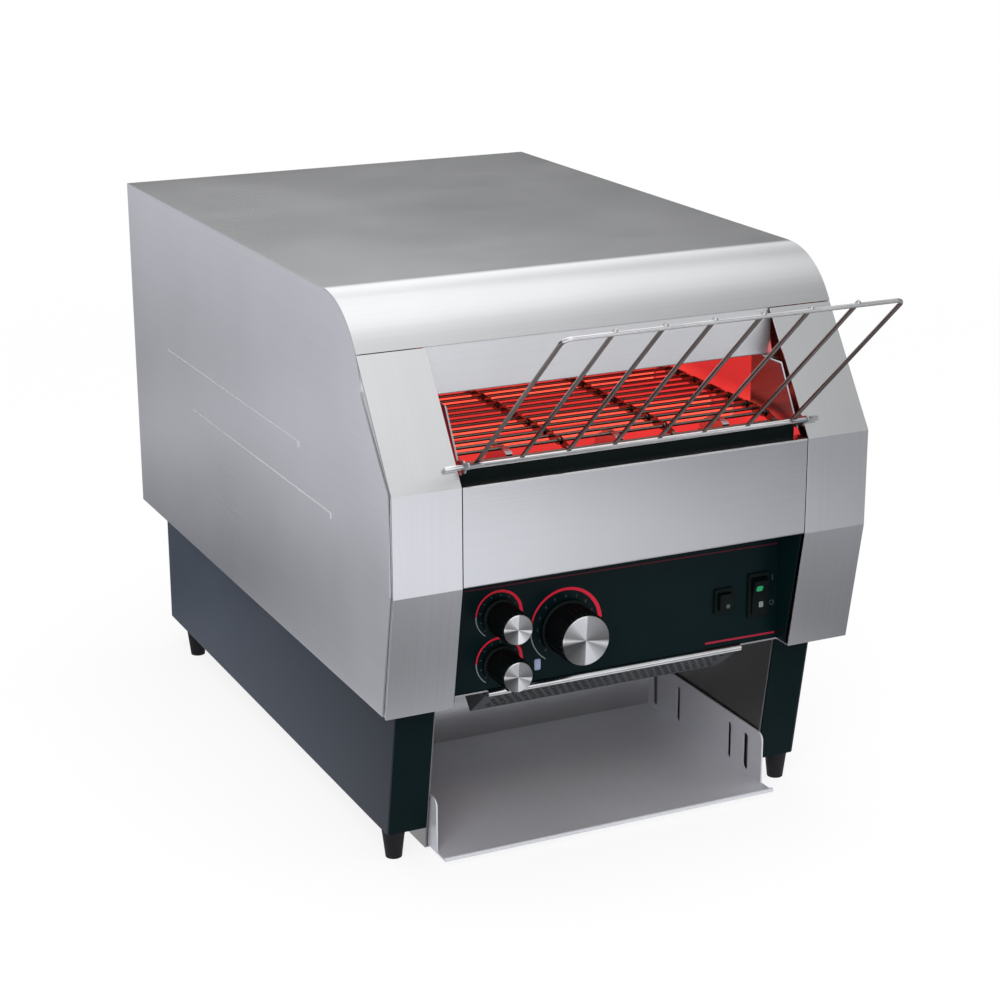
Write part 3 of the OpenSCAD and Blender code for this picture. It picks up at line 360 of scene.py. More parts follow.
# Levels between two places along X, and between two along Y.
FLOOR_X, FLOOR_Y = (-1.0, 1.5), (-1.5, 1.5)
FLOOR_ACROSS = ((0.0, 1.68), (0.20, 0.72), (0.36, 0.48), (0.44, 0.59), (0.52, 0.41),
                (0.62, 0.20), (1.0, 0.20))
FLOOR_BACKWARDS = ((0.0, 1.60), (0.25, 1.35), (0.50, 1.65), (0.75, 0.41), (1.0, 0.40))


def distance_from_footprint(tree, place):
    """How far a point of the floor lies from the toaster's footprint, in metres."""
    reach = node(tree, "ShaderNodeCombineXYZ")
    length = node(tree, "ShaderNodeVectorMath", operation="LENGTH")
    for axis, (half_size, middle) in FOOTPRINT.items():
        off_middle = maths(tree, "ABSOLUTE", maths(tree, "SUBTRACT", place[axis], middle))
        past_edge = maths(tree, "SUBTRACT", off_middle, half_size)
        join(tree, maths(tree, "MAXIMUM", past_edge, 0.0), reach.inputs[axis])
    join(tree, reach.outputs[0], length.inputs[0])
    return length.outputs["Value"]


# %% [markdown]
# The floor's material mixes three looks by the kind of ray, as the world does: the eye sees
# paper and glow, matt surfaces see paper, and reflections see the levels above.

# %% Floor
def paper_material():
    material = bpy.data.materials.new("floor_paper")
    material.use_nodes = True
    tree = material.node_tree
    tree.nodes.clear()
    out = node(tree, "ShaderNodeOutputMaterial")
    paper = node(tree, "ShaderNodeBsdfDiffuse", Color=PAPER_WHITE)
    glow = node(tree, "ShaderNodeEmission", Color=(1, 1, 1, 1), Strength=1.0)
    mirrored = node(tree, "ShaderNodeEmission", Color=MIRRORED_TINT)
    place = coordinates(tree)
    away = distance_from_footprint(tree, place)
    level = product(tree, curve_of(tree, away, NEAR_FLOOR),
                    curve_of(tree, spanned(tree, place["X"], *FLOOR_X), FLOOR_ACROSS),
                    curve_of(tree, spanned(tree, place["Y"], *FLOOR_Y), FLOOR_BACKWARDS))
    join(tree, held(tree, level, *MIRRORED_LEVELS), mirrored.inputs["Strength"])
    ray = node(tree, "ShaderNodeLightPath").outputs
    to_the_eye = mixed(tree, spanned(tree, away, *OWN_GLOW), paper.outputs[0], glow.outputs[0])
    plain = mixed(tree, ray["Is Camera Ray"], paper.outputs[0], to_the_eye)
    join(tree, mixed(tree, ray["Is Glossy Ray"], plain, mirrored.outputs[0]),
         out.inputs["Surface"])
    return material


def build_floor():
    mesh = bpy.data.meshes.new("floor")
    half = FLOOR_HALF_SIZE
    mesh.from_pydata([(-half, -half, 0), (half, -half, 0), (half, half, 0), (-half, half, 0)],
                     [], [(0, 1, 2, 3)])
    mesh.materials.append(paper_material())
    floor = bpy.data.objects.new("floor", mesh)
    bpy.context.scene.collection.objects.link(floor)
    return floor


print("floor", [round(v, 1) for v in build_floor().dimensions])

# %% [markdown]
# ## Lamps
# Three square area lamps give matt parts their form and the floor its shadow. They don't
# show in reflections, where the bright parts of the room already stand for them.

# %% Lamps
LAMPS = {
    "window_front": ((-1.3, -1.9, 1.6), 1.6, 30),
    "window_top": ((0.1, 0.1, 2.4), 1.8, 26),
    "fill_right": ((2.2, -0.9, 0.9), 1.4, 8),
}
LAMP_TARGET = Vector((0, 0, 0.2))


def add_lamp(name, place, size, watts):
    data = bpy.data.lights.new(name, "AREA")
    data.shape = "SQUARE"
    data.size = size
    data.energy = watts
    lamp = bpy.data.objects.new(name, data)
    bpy.context.scene.collection.objects.link(lamp)
    turn = (LAMP_TARGET - Vector(place)).to_track_quat("-Z", "Y")
    lamp.matrix_world = Matrix.LocRotScale(Vector(place), turn, None)
    lamp.visible_camera = False
    lamp.visible_glossy = False


for lamp_name, (place, size, watts) in LAMPS.items():
    add_lamp(lamp_name, place, size, watts)
bpy.context.scene.view_settings.view_transform = "Standard"
print("lamps", sorted(LAMPS))

# %% [markdown]
# ## Finishes
# Each finish starts from the same few nodes: an Object coordinate, a Mapping that stretches
# it along the grain, noise, and a ramp between two close tones. What is the same all over is
# set on the shader itself.

# %% Finish helpers
def shader_of(name, **settings):
    material = bpy.data.materials.new(name)
    material.use_nodes = True
    shader = material.node_tree.nodes["Principled BSDF"]
    for key, value in settings.items():
        shader.inputs[key.replace("_", " ")].default_value = value
    return material, material.node_tree, shader


def stretched_noise(tree, scale, detail=4.0, rough=0.6, vector=None):
    """Noise on Object coordinates, or on another vector, scaled by a vector or a number."""
    stretch = node(tree, "ShaderNodeMapping")
    stretch.inputs["Scale"].default_value = scale if isinstance(scale, tuple) else (scale,) * 3
    noise = node(tree, "ShaderNodeTexNoise", Scale=1.0, Detail=detail, Roughness=rough)
    join(tree, vector or node(tree, "ShaderNodeTexCoord").outputs["Object"],
         stretch.inputs["Vector"], stretch.outputs[0], noise.inputs["Vector"])
    return noise.outputs["Fac"]


def two_tones(tree, factor, low, high, start=0.3, end=0.7):
    ramp = node(tree, "ShaderNodeValToRGB")
    for element, tone, place in zip(ramp.color_ramp.elements, (low, high), (start, end)):
        element.color = (*tone, 1)
        element.position = place
    join(tree, factor, ramp.inputs["Fac"])
    return ramp.outputs["Color"]


def finish_with(tree, shader, colour, pattern, smoothest, roughest):
    """Gives the shader its colour, and a roughness that follows a pattern."""
    join(tree, colour, shader.inputs["Base Color"],
         spanned(tree, pattern, low=smoothest, high=roughest), shader.inputs["Roughness"])


def add_bump(tree, shader, height, strength, distance):
    bump = node(tree, "ShaderNodeBump", Strength=strength, Distance=distance)
    join(tree, height, bump.inputs["Height"], bump.outputs[0], shader.inputs["Normal"])


def scaled(colour, value):
    return tuple(value * c for c in colour)


# %% [markdown]
# ### Satin stainless steel
# The sheet is brushed in one direction at the mill. The lines are far finer than a
# millimetre, so they show as a faint streak in tone and as a wider highlight across them.
# A slow cloud on top stands for handling.

# %% Satin steel
ALONG = {"x": (3, 900, 900), "y": (900, 3, 900), "z": (900, 3, 3)}
CLOUD_SCALE = 5
LINE_SHARE = 0.45
DARK_TONE, LIGHT_TONE = 0.93, 1.05
DARK_UP_TO, LIGHT_FROM = 0.45, 1.0
SMOOTHER, ROUGHER = 0.03, 0.035
BRUSH_STRENGTH, BRUSH_DEPTH = 0.015, 0.04 * MM


def satin_steel(name, tone, grain="x", roughness=0.36, tint=(0.985, 0.99, 1.0), metallic=1.0):
    material, tree, shader = shader_of(name, Metallic=metallic)
    lines = stretched_noise(tree, ALONG[grain], detail=3.0)
    cloud = stretched_noise(tree, CLOUD_SCALE, detail=3.0)
    brushed = maths(tree, "MULTIPLY_ADD", lines, LINE_SHARE, cloud)
    colour = two_tones(tree, brushed, scaled(tint, tone * DARK_TONE),
                       scaled(tint, tone * LIGHT_TONE), DARK_UP_TO, LIGHT_FROM)
    finish_with(tree, shader, colour, brushed, roughness - SMOOTHER, roughness + ROUGHER)
    add_bump(tree, shader, lines, BRUSH_STRENGTH, BRUSH_DEPTH)
    return material


# The tone differs between sheets of the one steel by how each lies to the light, as painted light and shade: the
# top is painted darker than the sides, trims and tray, and the upper panel, in the shade under the hood, is
# painted lightest.
steel_across = satin_steel("satin_steel_across", 0.70, "x", roughness=0.20)
steel_side = satin_steel("satin_steel_side", 0.82, "y", roughness=0.27,
                         tint=(0.97, 0.975, 1.0))
steel_upright = satin_steel("satin_steel_upright", 0.78, "z", roughness=0.24)
steel_inner = satin_steel("mill_steel", 0.54, "y", roughness=0.34, tint=(0.93, 0.96, 1.03))
steel_tray = satin_steel("tray_steel", 0.74, "y", roughness=0.46, tint=(0.965, 0.97, 1.03),
                         metallic=0.45)
steel_painted_bright = satin_steel("satin_steel_painted_bright", 0.97, "x", roughness=0.46)
steel_moving = satin_steel("turned_steel", 0.55, "x", roughness=0.28)
print("nodes in the satin steel", len(steel_across.node_tree.nodes))

# %% [markdown]
# ### Bright wire and plated trim
# Nickel-plated wire is smooth with slight ripples. The rack's sloping wires are painted darker
# and slightly brown: painted shade and a painted reflection of the dark, red-lit mouth behind
# them. The belt's rods get a darker, brown tone as well.

# %% Bright wire
def bright_wire(name, tone, tint=(1, 1, 1)):
    material, tree, shader = shader_of(name, Metallic=1.0)
    ripple = stretched_noise(tree, 60, detail=2.0)
    colour = two_tones(tree, ripple, scaled(tint, tone * 0.85), scaled(tint, tone))
    finish_with(tree, shader, colour, ripple, 0.14, 0.26)
    add_bump(tree, shader, ripple, 0.08, 0.2 * MM)
    return material


wire_bright = bright_wire("plated_wire", 0.80)
# The darker, brownish wire finish is painted shade and reflection on the rack's sloping wires.
wire_painted_dark = bright_wire("wire_painted_shade", 0.21, (1.0, 0.87, 0.80))
steel_tinted = bright_wire("heat_tinted_rod", 0.20, (1.0, 0.80, 0.72))
print("wire finishes", [m.name for m in (wire_bright, wire_painted_dark, steel_tinted)])

# %% [markdown]
# ### Baked paint
# The base is painted slate grey and the control panel black with a green cast. Baked paint
# has a fine orange peel, which a small bump gives. The slate is painted lighter towards the
# back, a painted gradient of light where more of the pale room reaches it.

# %% Paint
def faded(tree, colour, axis, start, end, low, high):
    """A colour painted lighter or darker along one axis of the object: painted light and shade."""
    scale = node(tree, "ShaderNodeVectorMath", operation="SCALE")
    join(tree, colour, scale.inputs[0],
         spanned(tree, coordinates(tree)[axis], start, end, low, high), scale.inputs["Scale"])
    return scale.outputs[0]


def baked_paint(name, low, high, roughness, peel=0.18, shine=0.16, light_gradient=None):
    material, tree, shader = shader_of(name, Specular_IOR_Level=shine)
    cloud = stretched_noise(tree, 14, detail=5.0)
    grain = stretched_noise(tree, 420, detail=2.0)
    colour = two_tones(tree, cloud, low, high)
    if light_gradient:
        colour = faded(tree, colour, *light_gradient)
    finish_with(tree, shader, colour, cloud, roughness - 0.05, roughness + 0.07)
    add_bump(tree, shader, grain, peel, 0.1 * MM)
    return material


# The last setting paints the slate lighter towards the back: painted light from the room.
slate = baked_paint("slate_paint", (0.034, 0.043, 0.060), (0.042, 0.052, 0.071), 0.42,
                    shine=0.08, light_gradient=("Y", -0.17, 0.22, 0.62, 1.55))
pillar_black = baked_paint("pillar_black", (0.0012, 0.007, 0.008), (0.002, 0.010, 0.011),
                           0.38, shine=0.06)
panel_black = baked_paint("panel_black", (0.0014, 0.008, 0.0095), (0.0024, 0.0105, 0.012),
                          0.30, peel=0.05, shine=0.09)
# A black plate behind the slit over the front panel stands for the shade there: painted shade.
painted_shade_black = baked_paint("painted_shade_black", (0.003, 0.006, 0.006), (0.005, 0.009, 0.009),
                            0.5, shine=0.06)
guard_grey = baked_paint("guard_grey", (0.030, 0.036, 0.038), (0.060, 0.066, 0.070), 0.36,
                         shine=0.6)
print("paints", [m.name for m in (slate, pillar_black, panel_black, painted_shade_black,
                                  guard_grey)])

# %% [markdown]
# ### Plastic, rubber and ceramic
# Knobs and switches are moulded in black, feet and the cord's bushing are rubber, and the
# elements sit in glazed ceramic. The motor's rough casting looks much the same from close by.
# All have one recipe: a fine mottle in tone and roughness, and a clear coat for the glaze.

# %% Plastics
def moulded(name, low, high, roughness, coat=0.0, shine=0.5):
    material, tree, shader = shader_of(name, Coat_Weight=coat, Specular_IOR_Level=shine)
    cloud = stretched_noise(tree, 90, detail=4.0)
    finish_with(tree, shader, two_tones(tree, cloud, low, high), cloud,
                roughness - 0.06, roughness + 0.08)
    add_bump(tree, shader, cloud, 0.10, 0.1 * MM)
    return material


black_plastic = moulded("black_plastic", (0.0016, 0.0035, 0.0036), (0.003, 0.006, 0.006),
                        0.44, shine=0.13)
black_rubber = moulded("black_rubber", (0.006, 0.006, 0.007), (0.011, 0.011, 0.012), 0.6,
                       shine=0.2)
ceramic = moulded("ceramic", (0.68, 0.65, 0.58), (0.80, 0.78, 0.72), 0.3, coat=0.4)
motor_cast = moulded("motor_cast", (0.14, 0.15, 0.16), (0.20, 0.21, 0.22), 0.5)
print("moulded finishes", [m.name for m in (black_plastic, black_rubber, ceramic,
                                            motor_cast)])

# %% [markdown]
# ### Sintered bronze
# The shafts turn in bushes pressed from bronze powder and soaked in oil. The powder's grains
# show as a fine, uneven sparkle, so the noise is very fine and its bump strong.

# %% Bronze
def sintered_bronze():
    material, tree, shader = shader_of("sintered_bronze", Metallic=1.0)
    grains = stretched_noise(tree, 700, detail=3.0)
    finish_with(tree, shader, two_tones(tree, grains, (0.40, 0.25, 0.11), (0.54, 0.36, 0.18)),
                grains, 0.30, 0.5)
    add_bump(tree, shader, grains, 0.2, 0.1 * MM)
    return material


bronze = sintered_bronze()
print("finishes so far", len(bpy.data.materials))

# %% [markdown]
# ### Glowing heaters
# A sheathed element at work is a dull orange red, brightest away from its cold ends. Its
# light also reddens the chamber, so the tube really shines.

# %% Heater glow
def heater_tube(name, strength):
    material, tree, shader = shader_of(name, Roughness=0.55, Emission_Strength=strength)
    cloud = stretched_noise(tree, (25, 60, 60), detail=3.0)
    join(tree, two_tones(tree, cloud, (0.25, 0.04, 0.02), (0.34, 0.07, 0.03)),
         shader.inputs["Base Color"])
    join(tree, two_tones(tree, cloud, (0.95, 0.075, 0.050), (1.0, 0.120, 0.070)),
         shader.inputs["Emission Color"])
    return material


heater_hot = heater_tube("heater_hot", 1.3)
print("elements glow at", heater_hot.node_tree.nodes["Principled BSDF"]
      .inputs["Emission Strength"].default_value)

# %% [markdown]
# ### Steel inside the chamber
# The sheets around the elements are stainless steel too. Between the belt and the upper
# elements the steel gets a faint red glow of its own, a painted reflection of the elements'
# red light. Below the belt, and on the outer side of the walls, it is plain steel again.

# %% Steel inside the chamber
GLOW_STARTS = (0.255, 0.264)
GLOW_ENDS = (0.3525, 0.3535)
WALL_INSIDE = box_of("upper_reflector")[1].x + 0.45 * MM
GLOW_COLOUR = (1.0, 0.042, 0.045, 1)


def hot_steel(name, tone, strength):
    material, tree, shader = shader_of(name, Metallic=1.0, Emission_Color=GLOW_COLOUR)
    lines = stretched_noise(tree, ALONG["y"], detail=3.0)
    cloud = stretched_noise(tree, 9, detail=4.0)
    colour = two_tones(tree, cloud, scaled((1, 1, 1), tone * 0.8),
                       scaled((1, 0.97, 0.92), tone))
    finish_with(tree, shader, colour, cloud, 0.30, 0.46)
    place = coordinates(tree)
    # Painted red light of the elements on the steel between the belt and the upper elements, inside the walls.
    glow = product(
        tree, spanned(tree, cloud, low=0.75, high=1.15),
        spanned(tree, place["Z"], *GLOW_STARTS, 0.0, strength, kind="SMOOTHSTEP"),
        spanned(tree, place["Z"], *GLOW_ENDS, 1.0, 0.0, kind="SMOOTHSTEP"),
        maths(tree, "LESS_THAN", maths(tree, "ABSOLUTE", place["X"]), WALL_INSIDE))
    join(tree, glow, shader.inputs["Emission Strength"])
    add_bump(tree, shader, lines, 0.12, 0.04 * MM)
    return material


steel_red_lit = hot_steel("chamber_steel", 0.30, 0.60)
print("walls glow within", round(WALL_INSIDE / MM, 2), "mm of the middle")

# %% [markdown]
# ## Finishes on the frame's parts
# A part whose shape is right keeps its own mesh and only gets its finish. The list is read
# from the finish to its parts, so that one look at it tells what is made of the same stuff.

# %% Put finishes on
FINISH = {
    steel_across: ["top_cover", "front_panel", "back_panel", "control_box"],
    steel_painted_bright: ["upper_panel"],
    steel_side: ["side_panel_left", "side_panel_right"],
    steel_upright: ["front_trim_left", "front_trim_right"],
    steel_inner: ["ramp", "heat_shield", "throat_guide_left", "throat_guide_right"],
    steel_tray: ["collection_tray"],
    steel_red_lit: ["inner_wall_left", "inner_wall_right", "upper_reflector",
                "lower_reflector"],
    steel_tinted: ["belt_rods", "belt_end_rods", "belt_links"],
    steel_moving: ["idler_shaft", "idler_sprockets", "drive_shaft", "drive_sprockets",
                   "chain_wheel", "drive_chain", "motor_pinion"],
    wire_bright: ["feed_rack", "panel_strip", "fan_guard", "back_screws"],
    slate: ["base_side_left", "base_side_right", "base_pan", "base_back"],
    pillar_black: ["front_pillar_left", "front_pillar_right"],
    panel_black: ["control_panel"],
    # The front baffle's black stands for the shade in the slit: painted shade.
    painted_shade_black: ["front_baffle"],
    guard_grey: ["vent_guard"],
    heater_hot: ["upper_elements", "lower_elements"],
    ceramic: ["element_bushings", "terminal_block"],
    bronze: ["shaft_bushes"],
    black_rubber: ["feet", "cord_bushing"],
    motor_cast: ["gear_motor"],
    black_plastic: ["control_switches", "switch_bezels", "indicator_lamp", "contactor",
                    "fan_frame", "fan_rotor", "upper_heat_knob",
                    "lower_heat_knob", "speed_knob", "power_rocker", "saver_button"],
}
FINISH_OF = {name: material for material, names in FINISH.items() for name in names}
for name, material in FINISH_OF.items():
    for material_slot in frame["nodes"][name].material_slots:
        material_slot.material = material
print("dressed", len(FINISH_OF), "not dressed", sorted(set(frame["nodes"]) - set(FINISH_OF)))

# %% [markdown]
# ## Sheet metal with real bends
# A press brake leaves a small radius along each fold, and a file or a tumbler takes the
# sharpness off each cut edge. Both catch light, so a folded sheet looks wrong without them.
# The part's own mesh is copied and its flat triangles are joined into whole faces. Then the
# outer fold lines get a wide bevel and all other edges a narrow one.

# %% Find the folds
SAME_PLACE = 0.001 * MM
SAME_PLANE = math.radians(0.4)
LEAST_FOLD = math.radians(8)
LEAST_FOLD_LENGTH = 15 * MM
LEAST_FLANGE = 2.5 * MM


def whole_faces(node_name):
    """A node's mesh with its triangles joined into flat faces."""
    bm = bmesh.new()
    bm.from_mesh(frame["nodes"][node_name].data)
    bmesh.ops.remove_doubles(bm, verts=bm.verts, dist=SAME_PLACE)
    bmesh.ops.dissolve_limit(bm, angle_limit=SAME_PLANE, verts=bm.verts, edges=bm.edges,
                             delimit={"NORMAL"})
    return bm


def face_width(face):
    return face.calc_area() / max(edge.calc_length() for edge in face.edges)


def is_fold(edge):
    """True for the outside of a fold: long, convex and between two faces that aren't rims."""
    if len(edge.link_faces) != 2 or not edge.is_convex:
        return False
    if edge.calc_face_angle(0) < LEAST_FOLD or edge.calc_length() < LEAST_FOLD_LENGTH:
        return False
    return min(face_width(face) for face in edge.link_faces) > LEAST_FLANGE


# %% [markdown]
# ### Round them
# The same function does every sheet, from the top cover to the throat guides, and reads its
# finish from the list above.

# %% Round the outside sheets
RIM_ANGLE = math.radians(50)
RIM_LENGTH = 1.0 * MM
SHEETS = ["top_cover", "front_panel", "upper_panel", "side_panel_left", "side_panel_right",
          "front_trim_left", "front_trim_right", "back_panel", "collection_tray",
          "base_side_left", "base_side_right", "base_back", "front_pillar_left",
          "front_pillar_right", "control_panel", "throat_guide_left", "throat_guide_right"]


def round_edges(bm, edges, radius, segments):
    if edges:
        bmesh.ops.bevel(bm, geom=edges, offset=radius, offset_type="OFFSET",
                        segments=segments, profile=0.5, affect="EDGES", clamp_overlap=True)


def rounded_sheet(node_name, fold_radius=1.2 * MM, rim_radius=0.22 * MM):
    bm = whole_faces(node_name)
    round_edges(bm, [e for e in bm.edges if is_fold(e)], fold_radius, 4)
    rims = [e for e in bm.edges if len(e.link_faces) == 2
            and e.calc_face_angle(0) > RIM_ANGLE and e.calc_length() > RIM_LENGTH]
    round_edges(bm, rims, rim_radius, 2)
    mesh = mesh_of(bm, node_name + "_sheet")
    add_piece(node_name + "_sheet", mesh, node_name, FINISH_OF[node_name], instead=True)
    print(node_name, "faces", len(mesh.polygons))


for sheet_name in SHEETS:
    rounded_sheet(sheet_name)

# %% [markdown]
# ## Copies along a row or round an axis
# The ridges of a knob, the ticks of a dial and the weld beads of the rack are each one small
# shape, repeated. One Geometry Nodes tree does them all. It puts point number `index` at the
# angle `Start + index x Step` on a circle, moves it by `index x Shift`, sets a copy of the
# incoming shape on every point and turns it outwards. At the end of the tree the copies are
# made real and get their material.

# %% A tree that spreads copies
SPREAD_INPUTS = (("Count", "NodeSocketInt"), ("Radius", "NodeSocketFloat"),
                 ("Start", "NodeSocketFloat"), ("Step", "NodeSocketFloat"),
                 ("Shift", "NodeSocketVector"), ("Material", "NodeSocketMaterial"))


def build_spread_tree():
    tree = bpy.data.node_groups.new("spread_copies", "GeometryNodeTree")
    tree.interface.new_socket("Geometry", in_out="INPUT", socket_type="NodeSocketGeometry")
    for name, kind in SPREAD_INPUTS:
        tree.interface.new_socket(name, in_out="INPUT", socket_type=kind)
    tree.interface.new_socket("Geometry", in_out="OUTPUT", socket_type="NodeSocketGeometry")
    given = node(tree, "NodeGroupInput").outputs
    index = node(tree, "GeometryNodeInputIndex").outputs[0]
    angle = maths(tree, "MULTIPLY_ADD", index, given["Step"], given["Start"])
    outward = node(tree, "ShaderNodeCombineXYZ")
    ring = node(tree, "ShaderNodeVectorMath", operation="SCALE")
    row = node(tree, "ShaderNodeVectorMath", operation="SCALE")
    place = node(tree, "ShaderNodeVectorMath", operation="ADD")
    turn = node(tree, "ShaderNodeCombineXYZ")
    points = node(tree, "GeometryNodePoints")
    copies = node(tree, "GeometryNodeInstanceOnPoints")
    real = node(tree, "GeometryNodeRealizeInstances")
    finish = node(tree, "GeometryNodeSetMaterial")
    made = node(tree, "NodeGroupOutput")
    join(tree, maths(tree, "COSINE", angle), outward.inputs["X"],
         maths(tree, "SINE", angle), outward.inputs["Y"],
         outward.outputs[0], ring.inputs[0], given["Radius"], ring.inputs["Scale"],
         given["Shift"], row.inputs[0], index, row.inputs["Scale"],
         ring.outputs[0], place.inputs[0], row.outputs[0], place.inputs[1],
         angle, turn.inputs["Z"],
         given["Count"], points.inputs["Count"], place.outputs[0], points.inputs["Position"],
         points.outputs[0], copies.inputs["Points"], given["Geometry"],
         copies.inputs["Instance"], turn.outputs[0], copies.inputs["Rotation"],
         copies.outputs[0], real.inputs[0], real.outputs[0], finish.inputs["Geometry"],
         given["Material"], finish.inputs["Material"], finish.outputs[0], made.inputs[0])
    return tree


spread_tree = build_spread_tree()
print("tree nodes", len(spread_tree.nodes))

# %% [markdown]
# A modifier's input is set by the identifier of its socket, because two sockets may share a
# name. Radius, angle and shift start at zero, so a call gives only what it needs.

# %% Use the tree
def spread(name, shape, material, count, radius=0.0, start=0.0, step=0.0, shift=(0, 0, 0)):
    """Copies of a small mesh round Z, or in a row, as one plain mesh."""
    values = {"Count": count, "Radius": radius, "Start": start, "Step": step,
              "Shift": shift, "Material": material}

    def add(helper):
        modifier = helper.modifiers.new("spread", "NODES")
        modifier.node_group = spread_tree
        for item in spread_tree.interface.items_tree:
            if item.in_out == "INPUT" and item.name in values:
                modifier[item.identifier] = values[item.name]

    return evaluated_mesh(name, shape, add)


# %% [markdown]
# ## Where the controls sit
# Knobs and prints are drawn lying flat, with X to the right, Y up and Z towards the viewer,
# as on a drawing of the panel. One matrix then stands them up on the panel's face.

# %% From the drawing to the panel
PANEL_Y = joint_point("upper_heat_turn").y


def on_front(x=0.0, z=0.0):
    """Local (right, up, out) becomes world X, Z and -Y, on the panel's face at X and Z."""
    return Matrix(((1, 0, 0, x), (0, 0, -1, PANEL_Y), (0, 1, 0, z), (0, 0, 0, 1)))


print("panel face at y", round(PANEL_Y / MM, 1), "mm")

# %% [markdown]
# ## Turned shapes
# A lathe makes any shape that is a profile swung round an axis. The profile is a list of
# (radius, height) pairs, and each pair becomes a ring of points, or one point on the axis.

# %% Turn a profile
def turned(profile, steps=96):
    """A closed turned shape round local Z from (radius, height) pairs."""
    bm = bmesh.new()
    rings = []
    for radius, height in profile:
        if radius == 0:
            rings.append([bm.verts.new((0, 0, height))])
            continue
        angles = [2 * math.pi * k / steps for k in range(steps)]
        rings.append([bm.verts.new((radius * math.cos(a), radius * math.sin(a), height))
                      for a in angles])
    for low, high in zip(rings, rings[1:]):
        for k in range(steps):
            corners = [low[k % len(low)], low[(k + 1) % len(low)],
                       high[(k + 1) % len(high)], high[k % len(high)]]
            bm.faces.new(list(dict.fromkeys(corners)))
    bmesh.ops.recalc_face_normals(bm, faces=bm.faces)
    return bm


# %% [markdown]
# ## Plates with soft corners
# Ridges, lenses and marks are small plates with round corners and, on their outer side, a
# narrow slope that stands for a moulded edge.

# %% Make a plate
CORNER_STEPS = 4


def rounded_box(width, height, depth, corner, edge=0.0):
    """A plate with round corners: width and height across, depth towards local Z."""
    bm = bmesh.new()
    outline = []
    for k, (sx, sy) in enumerate(((1, 1), (-1, 1), (-1, -1), (1, -1))):
        for j in range(CORNER_STEPS + 1):
            angle = math.radians(90 * (k + j / CORNER_STEPS))
            outline.append((sx * (width / 2 - corner) + corner * math.cos(angle),
                            sy * (height / 2 - corner) + corner * math.sin(angle)))
    levels = [(0.0, 0.0), (depth - edge, 0.0), (depth, edge)] if edge else [(0, 0), (depth, 0)]
    rings = []
    for level, inset in levels:
        shrink_x = 1 - 2 * inset / width
        shrink_y = 1 - 2 * inset / height
        rings.append([bm.verts.new((x * shrink_x, y * shrink_y, level)) for x, y in outline])
    count = len(outline)
    for low, high in zip(rings, rings[1:]):
        for k in range(count):
            bm.faces.new((low[k], low[(k + 1) % count], high[(k + 1) % count], high[k]))
    bm.faces.new(rings[0])
    bm.faces.new(rings[-1])
    bmesh.ops.recalc_face_normals(bm, faces=bm.faces)
    return bm


# %% [markdown]
# ## Printed bands
# Ink on a panel has almost no thickness, but a thin solid strip renders cleanly from every
# side. Its four-sided section is carried from station to station, so an arc can grow wider
# on its way, as the heat scales on the dials do.

# %% Bands, arcs and bars
PRINT_THICK = 0.06 * MM


def band(bm, stations, closed=False):
    """Sweeps a four-sided section through the stations, each a list of four points."""
    rings = [[bm.verts.new(point) for point in station] for station in stations]
    pairs = list(zip(rings, rings[1:]))
    if closed:
        pairs.append((rings[-1], rings[0]))
    else:
        bm.faces.new(rings[0])
        bm.faces.new(rings[-1])
    for here, there in pairs:
        for k in range(4):
            bm.faces.new((here[k], here[(k + 1) % 4], there[(k + 1) % 4], there[k]))


def arc_band(bm, centre, radius, start, end, width_start, width_end, steps):
    """A band on the panel, seen from the front; angles in degrees from the right, upwards."""
    stations = []
    for k in range(steps + 1):
        share = k / steps
        angle = math.radians(start + (end - start) * share)
        half = (width_start + (width_end - width_start) * share) / 2
        stations.append([
            (centre[0] + r * math.cos(angle), centre[1] + r * math.sin(angle), depth)
            for r, depth in ((radius - half, 0), (radius + half, 0),
                             (radius + half, PRINT_THICK), (radius - half, PRINT_THICK))])
    whole = abs(end - start) == 360
    band(bm, stations[:-1] if whole else stations, closed=whole)


def bar(bm, first, second, width):
    """A straight printed bar between two points."""
    along = (Vector(second) - Vector(first)).normalized()
    side = Vector((-along.y, along.x)) * width / 2
    band(bm, [[(*(Vector(end) - side), 0), (*(Vector(end) + side), 0),
               (*(Vector(end) + side), PRINT_THICK), (*(Vector(end) - side), PRINT_THICK)]
              for end in (first, second)])


# %% [markdown]
# ## Ink and lenses
# Screen-printed ink is matt and covers unevenly at a very small scale. A lens is clear
# plastic over a small lamp: it glows a little by itself and has a glossy coat.

# %% Ink and lenses
def printed(name, colour, roughness=0.5):
    material, tree, shader = shader_of(name, Specular_IOR_Level=0.2)
    speck = stretched_noise(tree, 1500, detail=2.0)
    finish_with(tree, shader, two_tones(tree, speck, scaled(colour, 0.88), colour), speck,
                roughness - 0.05, roughness + 0.1)
    return material


def lit_lens(name, body, light, strength):
    material, tree, shader = shader_of(name, Coat_Weight=0.5, Emission_Strength=strength)
    ribs = stretched_noise(tree, 500, detail=2.0)
    finish_with(tree, shader, two_tones(tree, ribs, scaled(body, 0.8), body), ribs, 0.2, 0.35)
    join(tree, two_tones(tree, ribs, scaled(light, 0.8), light),
         shader.inputs["Emission Color"])
    return material


print_white = printed("print_white", (0.20, 0.235, 0.24))
print_dim = printed("print_grey", (0.062, 0.082, 0.086))
print_red = printed("print_red", (0.70, 0.012, 0.042))
line_red = printed("line_red", (0.070, 0.004, 0.012))
foot_red = printed("foot_red", (0.34, 0.010, 0.036))
lamp_lens = lit_lens("lamp_lens", (0.22, 0.27, 0.40), (0.30, 0.36, 0.58), 0.18)
green_lens = lit_lens("green_lens", (0.0, 0.12, 0.05), (0.0, 0.40, 0.13), 0.45)
print("inks", [m.name for m in (print_white, print_dim, print_red, line_red, foot_red)])
